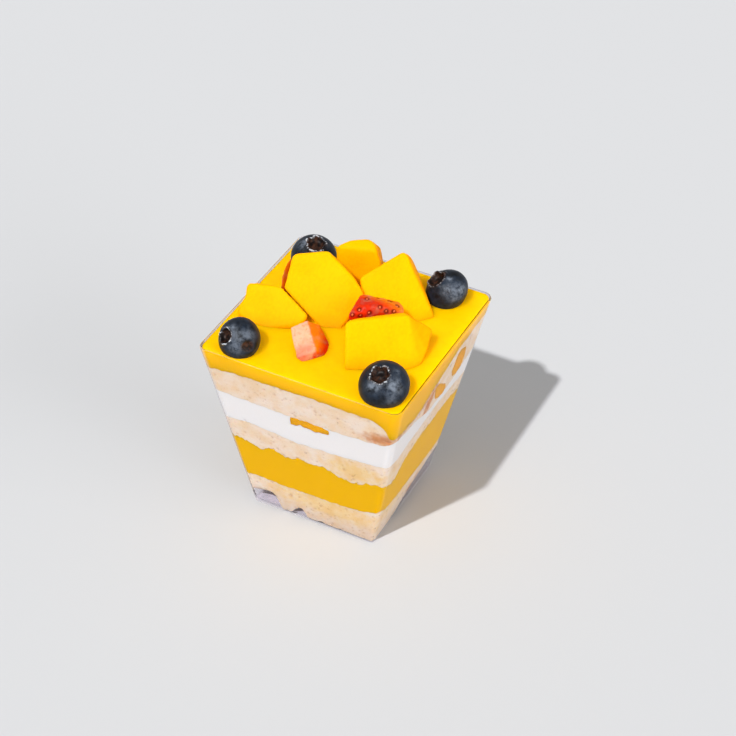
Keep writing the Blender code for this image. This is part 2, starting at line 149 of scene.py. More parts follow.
def band(first: int, second: int, count: int) -> list[tuple[int, ...]]:
    """Faces between two closed rings of corners.

    Args:
        first: the number of the first ring's first corner.
        second: the same of the second ring.
        count: how many corners each ring has.

    Returns:
        One face for each corner.
    """
    return [(first + at, first + (at + 1) % count, second + (at + 1) % count, second + at)
            for at in range(count)]


def bake(item: bpy.types.Object) -> None:
    """Turn an object's modifiers into plain mesh.

    Args:
        item: the object, which keeps its name.
    """
    bpy.context.view_layer.update()
    graph = bpy.context.evaluated_depsgraph_get()
    mesh = bpy.data.meshes.new_from_object(item.evaluated_get(graph))
    item.modifiers.clear()
    item.data = mesh


def places_of(mesh: bpy.types.Mesh) -> np.ndarray:
    """Where a mesh's corners are.

    Args:
        mesh: the mesh.

    Returns:
        A row for each corner, in metres.
    """
    flat = np.empty(len(mesh.vertices) * 3)
    mesh.vertices.foreach_get("co", flat)
    return flat.reshape(-1, 3)


def tree_of(mesh: bpy.types.Mesh) -> BVHTree:
    """Make a mesh ready for looking up its nearest point.

    Args:
        mesh: the mesh.

    Returns:
        Its search tree, in metres.
    """
    bm = bmesh.new()
    bm.from_mesh(mesh)
    tree = BVHTree.FromBMesh(bm)
    bm.free()
    return tree


def normals_of(mesh: bpy.types.Mesh) -> np.ndarray:
    """The corners' outward directions, one row each."""
    return np.array([vertex.normal[:] for vertex in mesh.vertices])


def move_to(mesh: bpy.types.Mesh, places: np.ndarray) -> None:
    """Put the mesh's corners at new places."""
    mesh.vertices.foreach_set("co", places.ravel())
    mesh.update()


def paint(mesh: bpy.types.Mesh, name: str, values: np.ndarray) -> None:
    """Store a number for each corner, which a material reads by name."""
    layer = mesh.attributes.new(name, "FLOAT", "POINT")
    layer.data.foreach_set("value", np.ascontiguousarray(values, dtype=np.float32))


def rough(place: Vector, size: float, seed: float, octaves: int = 3) -> float:
    """Soft noise from -1 to 1.

    Args:
        place: where, in millimetres.
        size: the size of its bumps, in millimetres.
        seed: picks the pattern.
        octaves: how many finer layers it has.

    Returns:
        The noise there.
    """
    spot = place / size + Vector((seed, 1.7 * seed, -seed))
    return noise.fractal(spot, 1.0, 2.0, octaves)


def finish_piece(item: bpy.types.Object, material: bpy.types.Material, slot: str,
                 *nodes: str) -> bpy.types.Object:
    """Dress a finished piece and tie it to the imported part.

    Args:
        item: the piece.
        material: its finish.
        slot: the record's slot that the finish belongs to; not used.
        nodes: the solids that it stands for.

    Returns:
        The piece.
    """
    item.data.materials.clear()
    item.data.materials.append(material)
    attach(item, BODY)
    if nodes:
        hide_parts(*nodes)
    LOG.info("%s: %d faces, %s", item.name, len(item.data.polygons), material.name)
    return item


# ------------------------------------------------------------------------ finishes

class Bench:
    """A new material with its shader, laid out for its finish to add nodes to."""

    def __init__(self, name: str, settings: dict) -> None:
        """Start a material.

        Args:
            name: the real material and how it was made.
            settings: the shader's plain values.
        """
        self.material = bpy.data.materials.new(name)
        self.material.use_nodes = True
        self.tree = self.material.node_tree
        self.tree.nodes.clear()
        self.shader = add_node(self.tree, "ShaderNodeBsdfPrincipled", settings)
        self.output = add_node(self.tree, "ShaderNodeOutputMaterial",
                               {"Surface": self.shader.outputs[0]})
        self.place = add_node(self.tree, "ShaderNodeTexCoord").outputs["Object"]

    def add(self, kind: str, inputs: dict | None = None,
            **settings: object) -> bpy.types.Node:
        """Add a node to this material."""
        return add_node(self.tree, kind, inputs, **settings)

    def feed(self, name: str, socket: bpy.types.NodeSocket) -> None:
        """Link a pattern to one of the shader's inputs."""
        self.tree.links.new(socket, self.shader.inputs[name])


@dataclass(frozen=True)
class ClearPlastic:
    """Polystyrene, injection moulded: clear, milky where it is thick, with painted highlights
    on the lip and upright edges and painted shade along the lip.
    """

    tint: str = "f6f4f9"
    milky_sheen: str = "cfc7cf"
    # painted shade: the dark colour of the shade under the lip and of a dark line down one
    # corner
    shaded: str = "301f10"
    unseen: str = "fbfafd"       # the tint it gives light that passes on to the food
    ior: float = 1.12            # low, as the food wets the wall and no air gap bends light
    gloss: float = 0.08
    roughness: float = 0.015
    mould_wave: float = 9.0      # the wall's slow unevenness, which bends reflections
    wave_height: float = 0.02

    def material(self) -> bpy.types.Material:
        """Build the material, which lets lamps and soft light through to the food.

        Its milkiness attribute clouds the foot and paints highlights on the lip and upright
        edges; its edge attribute paints shade under the lip and a dark line down one corner.

        Returns:
            The finish.
        """
        bench = Bench("clear_polystyrene_moulded", {
            "IOR": self.ior, "Roughness": self.roughness, "Specular IOR Level": self.gloss})
        haze_and_sheen = bench.add("ShaderNodeAttribute", attribute_name="haze_and_sheen")
        # Painted shade: the edge attribute mixes in the dark colour.
        edge = bench.add("ShaderNodeAttribute", attribute_name="edge")
        tinted = bench.add("ShaderNodeMix", {
            0: edge.outputs["Fac"], 6: linear(self.tint), 7: linear(self.shaded)},
            data_type="RGBA")
        # Real clouding at the foot; on the lip and the upright edges the milky colour is
        # painted highlight and reflection.
        clouded = bench.add("ShaderNodeMix", {
            0: haze_and_sheen.outputs["Fac"], 6: tinted.outputs[2], 7: linear(self.milky_sheen)},
            data_type="RGBA")
        bench.feed("Base Color", clouded.outputs[2])
        through = bench.add("ShaderNodeMath", {0: 1.0, 1: haze_and_sheen.outputs["Fac"]},
                            operation="SUBTRACT", use_clamp=True)
        bench.feed("Transmission Weight", through.outputs[0])
        wave = bench.add("ShaderNodeTexNoise", {
            "Vector": bench.place, "Scale": per_mm(self.mould_wave), "Detail": 1.0})
        bump = bench.add("ShaderNodeBump", {
            "Height": wave.outputs[0], "Distance": mm(self.wave_height)})
        bench.feed("Normal", bump.outputs[0])
        path = bench.add("ShaderNodeLightPath")
        clear = bench.add("ShaderNodeBsdfTransparent", {"Color": linear(self.unseen)})
        soft = bench.add("ShaderNodeMixShader", {
            0: path.outputs["Is Diffuse Ray"], 1: bench.shader.outputs[0],
            2: clear.outputs[0]})
        lamps = bench.add("ShaderNodeMixShader", {
            0: path.outputs["Is Shadow Ray"], 1: soft.outputs[0], 2: clear.outputs[0]})
        bench.tree.links.new(lamps.outputs[0], bench.output.inputs["Surface"])
        return bench.material


@dataclass(frozen=True)
class Crumb:
    """Baked sponge: a matt, pale crumb full of fine pores, browned where it met the tin."""

    pale: str = "ecdac5"
    golden: str = "e9cca6"
    # the dark specks' colour, and painted shade in the pores
    pore: str = "cfa67c"
    crust: str = "e8a468"
    crust_dark: str = "a4561f"
    low_shade: str = "e6e4e6"         # painted shade: what the cake's colour is multiplied by towards the bottom
    juice: str = "fff0ba"        # the same where mango juice has soaked in
    pore_size: float = 0.9       # the crumb's own cells
    mottle_size: float = 4.0     # paler and more golden places
    fleck_size: float = 0.55     # dark specks between the cells
    bake_size: float = 1.6       # the uneven browning of the crust
    roughness: float = 0.9

    def material(self) -> bpy.types.Material:
        """Build the material, whose crust, stains, painted shade in the pores and painted
        shade near the bottom follow the mesh's attributes.

        Returns:
            The finish.
        """
        bench = Bench("sponge_baked", {
            "Roughness": self.roughness, "IOR": 1.4, "Subsurface Weight": 0.25,
            "Subsurface Scale": mm(1.2), "Subsurface Radius": (1.0, 0.6, 0.35),
            "Specular IOR Level": 0.25})
        mottle = bench.add("ShaderNodeTexNoise", {
            "Vector": bench.place, "Scale": per_mm(self.mottle_size), "Detail": 4.0})
        tone = bench.add("ShaderNodeMapRange", {
            "Value": mottle.outputs[0], "From Min": 0.35, "From Max": 0.68})
        crumb = bench.add("ShaderNodeMix", {
            0: tone.outputs[0], 6: linear(self.pale), 7: linear(self.golden)},
            data_type="RGBA")
        flecks = bench.add("ShaderNodeTexNoise", {
            "Vector": bench.place, "Scale": per_mm(self.fleck_size), "Detail": 2.0})
        fleck = bench.add("ShaderNodeMapRange", {
            "Value": flecks.outputs[0], "From Min": 0.60, "From Max": 0.80, "To Max": 0.6})
        dotted = bench.add("ShaderNodeMix", {
            0: fleck.outputs[0], 6: crumb.outputs[2], 7: linear(self.pore)},
            data_type="RGBA")
        # Painted shade: the pores' dents darken towards the pore colour.
        pores = bench.add("ShaderNodeAttribute", attribute_name="pore")
        sunk = bench.add("ShaderNodeMath", {
            0: pores.outputs["Fac"], 1: 0.55}, operation="MULTIPLY")
        crumb_with_pore_shade = bench.add("ShaderNodeMix", {
            0: sunk.outputs[0], 6: dotted.outputs[2], 7: linear(self.pore)},
            data_type="RGBA")
        bake_noise = bench.add("ShaderNodeTexNoise", {
            "Vector": bench.place, "Scale": per_mm(self.bake_size), "Detail": 3.0})
        baked = bench.add("ShaderNodeMix", {
            0: bake_noise.outputs[0], 6: linear(self.crust), 7: linear(self.crust_dark)},
            data_type="RGBA")
        crust = bench.add("ShaderNodeAttribute", attribute_name="crust")
        colour = bench.add("ShaderNodeMix", {
            0: crust.outputs["Fac"], 6: crumb_with_pore_shade.outputs[2], 7: baked.outputs[2]},
            data_type="RGBA")
        # Painted shade: the cake darkens towards the bottom.
        low_shade = bench.add("ShaderNodeAttribute", attribute_name="low_shade")
        soaked = bench.add("ShaderNodeMix", {
            0: low_shade.outputs["Fac"], 6: colour.outputs[2], 7: linear(self.low_shade)},
            data_type="RGBA", blend_type="MULTIPLY")
        juicy = bench.add("ShaderNodeAttribute", attribute_name="juice")
        stained = bench.add("ShaderNodeMix", {
            0: juicy.outputs["Fac"], 6: soaked.outputs[2], 7: linear(self.juice)},
            data_type="RGBA", blend_type="MULTIPLY")
        bench.feed("Base Color", stained.outputs[2])
        cells = bench.add("ShaderNodeTexVoronoi", {
            "Vector": bench.place, "Scale": per_mm(self.pore_size)})
        bump = bench.add("ShaderNodeBump", {
            "Height": cells.outputs["Distance"], "Distance": mm(0.10), "Strength": 0.7})
        fine = bench.add("ShaderNodeBump", {
            "Height": flecks.outputs[0], "Distance": mm(0.12), "Strength": 0.6,
            "Normal": bump.outputs[0]})
        bench.feed("Normal", fine.outputs[0])
        return bench.material


@dataclass(frozen=True)
class Puree:
    """Mango puree, sieved: a smooth, wet, saturated yellow that lights up from inside."""

    name: str
    yellow: str
    deep: str
    side_shade: str                 # painted shade on its sides, against the wall
    glow: float = 1.0
    reach: float = 2.0           # how far light wanders inside it, in millimetres
    shine: float = 0.1
    fibre: float = 2.6           # the width of its swirls, in millimetres
    roughness: float = 0.22

    def material(self) -> bpy.types.Material:
        """Build the material, with faint fibres in its colour and sheen.

        Returns:
            The finish.
        """
        bench = Bench(self.name, {
            "IOR": 1.38, "Roughness": self.roughness, "Specular IOR Level": self.shine,
            "Subsurface Weight": self.glow, "Subsurface Scale": mm(self.reach),
            "Subsurface Radius": (1.0, 0.7, 0.05)})
        bench.shader.subsurface_method = "BURLEY"
        swirl = bench.add("ShaderNodeTexNoise", {
            "Vector": bench.place, "Scale": per_mm(self.fibre), "Detail": 4.0,
            "Distortion": 0.6})
        share = bench.add("ShaderNodeMapRange", {
            "Value": swirl.outputs[0], "From Min": 0.38, "From Max": 0.72, "To Max": 0.6})
        colour = bench.add("ShaderNodeMix", {
            0: share.outputs[0], 6: linear(self.yellow), 7: linear(self.deep)},
            data_type="RGBA")
        # Painted shade: the sides take the darker side colour.
        wall = bench.add("ShaderNodeAttribute", attribute_name="deep")
        both = bench.add("ShaderNodeMix", {
            0: wall.outputs["Fac"], 6: colour.outputs[2], 7: linear(self.side_shade)},
            data_type="RGBA")
        bench.feed("Base Color", both.outputs[2])
        sheen = bench.add("ShaderNodeMapRange", {
            "Value": swirl.outputs[0], "To Min": self.roughness - 0.05,
            "To Max": self.roughness + 0.08})
        bench.feed("Roughness", sheen.outputs[0])
        bump = bench.add("ShaderNodeBump", {
            "Height": swirl.outputs[0], "Distance": mm(0.06), "Strength": 0.3})
        bench.feed("Normal", bump.outputs[0])
        return bench.material


@dataclass(frozen=True)
class Cream:
    """Cream, whipped: a soft white with tiny air bubbles pressed against the wall, with
    painted shade in them.
    """

    white: str = "ebe9e4"
    # painted shade inside the air bubbles
    hollow: str = "dddbd8"
    bubble_size: float = 1.3
    fold_size: float = 5.0       # soft waves of the whipped surface
    roughness: float = 0.5

    def material(self) -> bpy.types.Material:
        """Build the material.

        Returns:
            The finish.
        """
        bench = Bench("cream_whipped", {
            "IOR": 1.4, "Roughness": self.roughness, "Specular IOR Level": 0.3,
            "Subsurface Weight": 0.35, "Subsurface Scale": mm(1.5),
            "Subsurface Radius": (1.0, 0.9, 0.8)})
        folds = bench.add("ShaderNodeTexNoise", {
            "Vector": bench.place, "Scale": per_mm(self.fold_size), "Detail": 3.0})
        bubbles = bench.add("ShaderNodeTexVoronoi", {
            "Vector": bench.place, "Scale": per_mm(self.bubble_size)})
        bubble_shade = bench.add("ShaderNodeMapRange", {
            "Value": bubbles.outputs["Distance"], "From Min": 0.0, "From Max": 0.22,
            "To Min": 1.0, "To Max": 0.0})
        rare = bench.add("ShaderNodeMapRange", {
            "Value": folds.outputs[0], "From Min": 0.55, "From Max": 0.7})
        pit_shade = bench.add("ShaderNodeMath", {
            0: bubble_shade.outputs[0], 1: rare.outputs[0]}, operation="MULTIPLY")
        colour = bench.add("ShaderNodeMix", {
            0: pit_shade.outputs[0], 6: linear(self.white), 7: linear(self.hollow)},
            data_type="RGBA")
        bench.feed("Base Color", colour.outputs[2])
        bump = bench.add("ShaderNodeBump", {
            "Height": folds.outputs[0], "Distance": mm(0.25), "Strength": 0.4})
        bench.feed("Normal", bump.outputs[0])
        return bench.material


@dataclass(frozen=True)
class MangoFlesh:
    """Ripe mango, knife cut: bright, wet flesh with faint fibres along the fruit."""

    name: str
    yellow: str
    deep: str
    shade_and_glow: str = "f49400"         # painted shade on faces turned right and near the puree, and a painted glow beside the strawberry
    fibre_width: float = 0.7
    fibre_length: float = 6.0
    blush_size: float = 8.0      # slow changes in how yellow it is
    roughness: float = 0.5

    def material(self) -> bpy.types.Material:
        """Build the material.

        Returns:
            The finish.
        """
        bench = Bench(self.name, {
            "IOR": 1.38, "Roughness": self.roughness, "Specular IOR Level": 0.03,
            "Subsurface Weight": 0.9, "Subsurface Scale": mm(4.5),
            "Subsurface Radius": (1.0, 0.6, 0.04)})
        bench.shader.subsurface_method = "BURLEY"
        stretched = bench.add("ShaderNodeMapping", {
            "Vector": bench.place, "Rotation": (0.5, 0.35, 0.7),
            "Scale": (1.0, self.fibre_width / self.fibre_length, 1.0)})
        fibres = bench.add("ShaderNodeTexNoise", {
            "Vector": stretched.outputs[0], "Scale": per_mm(self.fibre_width),
            "Detail": 3.0, "Distortion": 0.3})
        patches = bench.add("ShaderNodeTexNoise", {
            "Vector": bench.place, "Scale": per_mm(self.blush_size), "Detail": 2.0})
        both = bench.add("ShaderNodeMath", {
            0: fibres.outputs[0], 1: patches.outputs[0]}, operation="ADD")
        share = bench.add("ShaderNodeMapRange", {
            "Value": both.outputs[0], "From Min": 0.85, "From Max": 1.35, "To Max": 0.7})
        colour = bench.add("ShaderNodeMix", {
            0: share.outputs[0], 6: linear(self.yellow), 7: linear(self.deep)},
            data_type="RGBA")
        # Painted shade and glow: the attribute turns the flesh orange.
        painted_shade_and_glow = bench.add("ShaderNodeAttribute", attribute_name="shade_and_glow")
        shaded_and_glowing = bench.add("ShaderNodeMix", {
            0: painted_shade_and_glow.outputs["Fac"], 6: colour.outputs[2], 7: linear(self.shade_and_glow)},
            data_type="RGBA")
        bench.feed("Base Color", shaded_and_glowing.outputs[2])
        sheen = bench.add("ShaderNodeMapRange", {
            "Value": patches.outputs[0], "To Min": self.roughness - 0.08,
            "To Max": self.roughness + 0.12})
        bench.feed("Roughness", sheen.outputs[0])
        bump = bench.add("ShaderNodeBump", {
            "Height": fibres.outputs[0], "Distance": mm(0.05), "Strength": 0.25})
        bench.feed("Normal", bump.outputs[0])
        return bench.material


@dataclass(frozen=True)
class StrawberryFlesh:
    """Strawberry, knife cut: red glossy skin, and flesh that pales towards its heart."""

    skin: str = "de2e06"
    skin_deep: str = "ba1402"
    orange: str = "f88408"
    pale: str = "edb894"
    vein: str = "e46a2a"
    # painted shade in the seed dimples and under the mango
    pit_shade: str = "640602"
    blotch_size: float = 2.2
    vein_size: float = 1.1
    roughness: float = 0.38

    def material(self) -> bpy.types.Material:
        """Build the material.

        The attribute flesh pales it, orange warms it, and painted shade darkens it in the
        dimple round a seed and on the shaded half of the left piece.

        Returns:
            The finish.
        """
        bench = Bench("strawberry_cut", {
            "IOR": 1.38, "Roughness": self.roughness, "Specular IOR Level": 0.16,
            "Subsurface Weight": 0.35, "Subsurface Scale": mm(1.6),
            "Subsurface Radius": (1.0, 0.35, 0.15)})
        blotch = bench.add("ShaderNodeTexNoise", {
            "Vector": bench.place, "Scale": per_mm(self.blotch_size), "Detail": 4.0})
        dark = bench.add("ShaderNodeMapRange", {
            "Value": blotch.outputs[0], "From Min": 0.4, "From Max": 0.65})
        skin = bench.add("ShaderNodeMix", {
            0: dark.outputs[0], 6: linear(self.skin), 7: linear(self.skin_deep)},
            data_type="RGBA")
        warm = bench.add("ShaderNodeAttribute", attribute_name="orange")
        warmed = bench.add("ShaderNodeMix", {
            0: warm.outputs["Fac"], 6: skin.outputs[2], 7: linear(self.orange)},
            data_type="RGBA")
        veins = bench.add("ShaderNodeTexNoise", {
            "Vector": bench.place, "Scale": per_mm(self.vein_size), "Detail": 3.0})
        vein = bench.add("ShaderNodeMapRange", {
            "Value": veins.outputs[0], "From Min": 0.52, "From Max": 0.72, "To Max": 0.5})
        heart = bench.add("ShaderNodeMix", {
            0: vein.outputs[0], 6: linear(self.pale), 7: linear(self.vein)},
            data_type="RGBA")
        flesh = bench.add("ShaderNodeAttribute", attribute_name="flesh")
        uneven = bench.add("ShaderNodeMath", {
            0: blotch.outputs[0], 1: -0.5}, operation="ADD")
        edge = bench.add("ShaderNodeMath", {
            0: uneven.outputs[0], 1: 1.2, 2: flesh.outputs["Fac"]},
            operation="MULTIPLY_ADD", use_clamp=True)
        cut = bench.add("ShaderNodeMix", {
            0: edge.outputs[0], 6: warmed.outputs[2], 7: heart.outputs[2]},
            data_type="RGBA")
        pit_shade = bench.add("ShaderNodeAttribute", attribute_name="pit_shade")
        colour = bench.add("ShaderNodeMix", {
            0: pit_shade.outputs["Fac"], 6: cut.outputs[2], 7: linear(self.pit_shade)},
            data_type="RGBA")
        bench.feed("Base Color", colour.outputs[2])
        bump = bench.add("ShaderNodeBump", {
            "Height": veins.outputs[0], "Distance": mm(0.15), "Strength": 0.5})
        bench.feed("Normal", bump.outputs[0])
        return bench.material


@dataclass(frozen=True)
class SeedHusk:
    """A strawberry's seed: a hard, straw-coloured husk with a slight gloss."""

    straw: str = "f08048"
    brown: str = "c23a14"
    grain_size: float = 0.5
    roughness: float = 0.35

    def material(self) -> bpy.types.Material:
        """Build the material.

        Returns:
            The finish.
        """
        bench = Bench("strawberry_seed_husk", {
            "IOR": 1.45, "Roughness": self.roughness})
        grain = bench.add("ShaderNodeTexNoise", {
            "Vector": bench.place, "Scale": per_mm(self.grain_size), "Detail": 2.0})
        colour = bench.add("ShaderNodeMix", {
            0: grain.outputs[0], 6: linear(self.straw), 7: linear(self.brown)},
            data_type="RGBA")
        bench.feed("Base Color", colour.outputs[2])
        return bench.material


@dataclass(frozen=True)
class BerrySkin:
    """Blueberry skin with its wax: near-black navy, dulled to slate where the wax is thick and
    where a highlight is painted.
    """

    navy: str = "15202f"
    ink: str = "05070c"
    wax_and_highlight: str = "6e7682"
    calyx: str = "402619"
    calyx_dark: str = "0e0605"
    calyx_edge: str = "c6cbd2"
    cloud_size: float = 3.4      # how the skin's own navy varies
    dust_size: float = 1.5       # the wax's patchiness
    roughness: float = 0.42

    def material(self) -> bpy.types.Material:
        """Build the material: attributes say where the wax and its painted highlights, the
        calyx and the frill are.

        Returns:
            The finish.
        """
        bench = Bench("blueberry_waxed_skin", {
            "IOR": 1.42, "Roughness": self.roughness, "Specular IOR Level": 0.22})
        cloud = bench.add("ShaderNodeTexNoise", {
            "Vector": bench.place, "Scale": per_mm(self.cloud_size), "Detail": 5.0,
            "Roughness": 0.62})
        ink = bench.add("ShaderNodeMapRange", {
            "Value": cloud.outputs[0], "From Min": 0.38, "From Max": 0.6})
        skin = bench.add("ShaderNodeMix", {
            0: ink.outputs[0], 6: linear(self.ink), 7: linear(self.navy)},
            data_type="RGBA")
        dust = bench.add("ShaderNodeTexNoise", {
            "Vector": bench.place, "Scale": per_mm(self.dust_size), "Detail": 5.0,
            "Roughness": 0.65})
        dusting = bench.add("ShaderNodeMapRange", {
            "Value": dust.outputs[0], "From Min": 0.36, "From Max": 0.60, "To Min": 0.1})
        bloom_and_highlight = bench.add("ShaderNodeAttribute", attribute_name="bloom_and_highlight")
        wax_and_highlight = bench.add("ShaderNodeMath", {
            0: dusting.outputs[0], 1: bloom_and_highlight.outputs["Fac"]}, operation="MULTIPLY",
            use_clamp=True)
        waxed = bench.add("ShaderNodeMix", {
            0: wax_and_highlight.outputs[0], 6: skin.outputs[2], 7: linear(self.wax_and_highlight)},
            data_type="RGBA")
        calyx = bench.add("ShaderNodeAttribute", attribute_name="calyx")
        dried = bench.add("ShaderNodeMapRange", {
            "Value": dust.outputs[0], "From Min": 0.46, "From Max": 0.62})
        hollow = bench.add("ShaderNodeMix", {
            0: dried.outputs[0], 6: linear(self.calyx_dark), 7: linear(self.calyx)},
            data_type="RGBA")
        crowned = bench.add("ShaderNodeMix", {
            0: calyx.outputs["Fac"], 6: waxed.outputs[2], 7: hollow.outputs[2]},
            data_type="RGBA")
        frill = bench.add("ShaderNodeAttribute", attribute_name="frill")
        colour = bench.add("ShaderNodeMix", {
            0: frill.outputs["Fac"], 6: crowned.outputs[2], 7: linear(self.calyx_edge)},
            data_type="RGBA")
        bench.feed("Base Color", colour.outputs[2])
        dull = bench.add("ShaderNodeMapRange", {
            "Value": wax_and_highlight.outputs[0], "To Min": self.roughness, "To Max": 0.7})
        bench.feed("Roughness", dull.outputs[0])
        bump = bench.add("ShaderNodeBump", {
            "Height": dust.outputs[0], "Distance": mm(0.06), "Strength": 0.5})
        bench.feed("Normal", bump.outputs[0])
        return bench.material


@dataclass(frozen=True)
class Backdrop:
    """Backdrop paper, uncoated: an even pale grey with a hint of pulp."""

    grey: str = "cacbcd"
    pulp_size: float = 0.8
    roughness: float = 0.95

    def material(self) -> bpy.types.Material:
        """Build the material.

        Returns:
            The finish.
        """
        bench = Bench("backdrop_paper", {
            "Roughness": self.roughness, "Specular IOR Level": 0.1,
            "Base Color": linear(self.grey)})
        pulp = bench.add("ShaderNodeTexNoise", {
            "Vector": bench.place, "Scale": per_mm(self.pulp_size), "Detail": 2.0})
        bump = bench.add("ShaderNodeBump", {
            "Height": pulp.outputs[0], "Distance": mm(0.02), "Strength": 0.2})
        bench.feed("Normal", bump.outputs[0])
        return bench.material


# --------------------------------------------------------------------- cup's shape

class Side(Enum):
    """The cup's faces, as quarter turns from the front."""

    FRONT = 0
    RIGHT = 1
    BACK = 2
    LEFT = 3


@dataclass(frozen=True)
class CupShape:
    """The tapered square that the cup and all that fills it share, in millimetres."""

    top: float = 65.0
    base: float = 40.5
    height: float = 64.0
    wall: float = 0.7
    floor: float = 1.2
    corner_top: float = 3.0
    corner_base: float = 1.2
    bite: float = 0.15       # how far food reaches into the wall, so that no gap shows

    def outer_half(self, z: float | np.ndarray) -> float | np.ndarray:
        """Half the outer width at a height."""
        return (self.base + (self.top - self.base) * z / self.height) / 2

    def inner_half(self, z: float | np.ndarray) -> float | np.ndarray:
        """Half the width between the walls at a height."""
        return self.outer_half(z) - self.wall

    def food_half(self, z: float | np.ndarray) -> float | np.ndarray:
        """Half the width of the food at a height."""
        return self.inner_half(z) + self.bite

    def corner(self, z: float | np.ndarray) -> float | np.ndarray:
        """Radius of the cup's upright edges at a height."""
        return self.corner_base + (self.corner_top - self.corner_base) * z / self.height

    def food_corner(self, z: float | np.ndarray) -> float | np.ndarray:
        """Radius of the food's upright edges at a height."""
        return self.corner(z) - self.wall + self.bite

    def around(self, s: np.ndarray, half: np.ndarray, corner: np.ndarray) -> np.ndarray:
        """Points of the rounded square.

        Args:
            s: places round it, one to each side, from 0 at the front's left end.
            half: half its width at each place.
            corner: the radius of its corners at each place.

        Returns:
            x and y, in millimetres, as rows.
        """
        side = np.floor(s + 1e-9).astype(int)
        along = 2 * (s - side) - 1
        straight = half - corner
        reach = np.abs(along) * half
        bend = np.clip((reach - straight) / corner, 0, 1) * math.pi / 4
        x = np.sign(along) * (np.minimum(reach, straight) + corner * np.sin(bend))
        y = -(straight + corner * np.cos(bend))
        turn = side % 4
        cos = np.array([1, 0, -1, 0])[turn]
        sin = np.array([0, 1, 0, -1])[turn]
        return np.stack([x * cos - y * sin, x * sin + y * cos], axis=-1)

    def on_wall(self, side: Side, along: float, z: float, depth: float) -> Vector:
        """A point by a wall.

        Args:
            side: which wall.
            along: how far along it from its middle.
            z: how high.
            depth: how far in from the food's own face.

        Returns:
            The point, in millimetres.
        """
        place = Vector((along, -(self.food_half(z) - depth), z))
        return Matrix.Rotation(math.radians(90 * side.value), 3, "Z") @ place


SHAPE = CupShape()


@dataclass(frozen=True)
class CupRing:
    """One ring of the cup's shell: its size in millimetres, how milky it is with painted
    highlights, and its painted shade.
    """

    half: float
    z: float
    corner: float
    haze_and_sheen: float = 0.0
    edge: float = 0.0


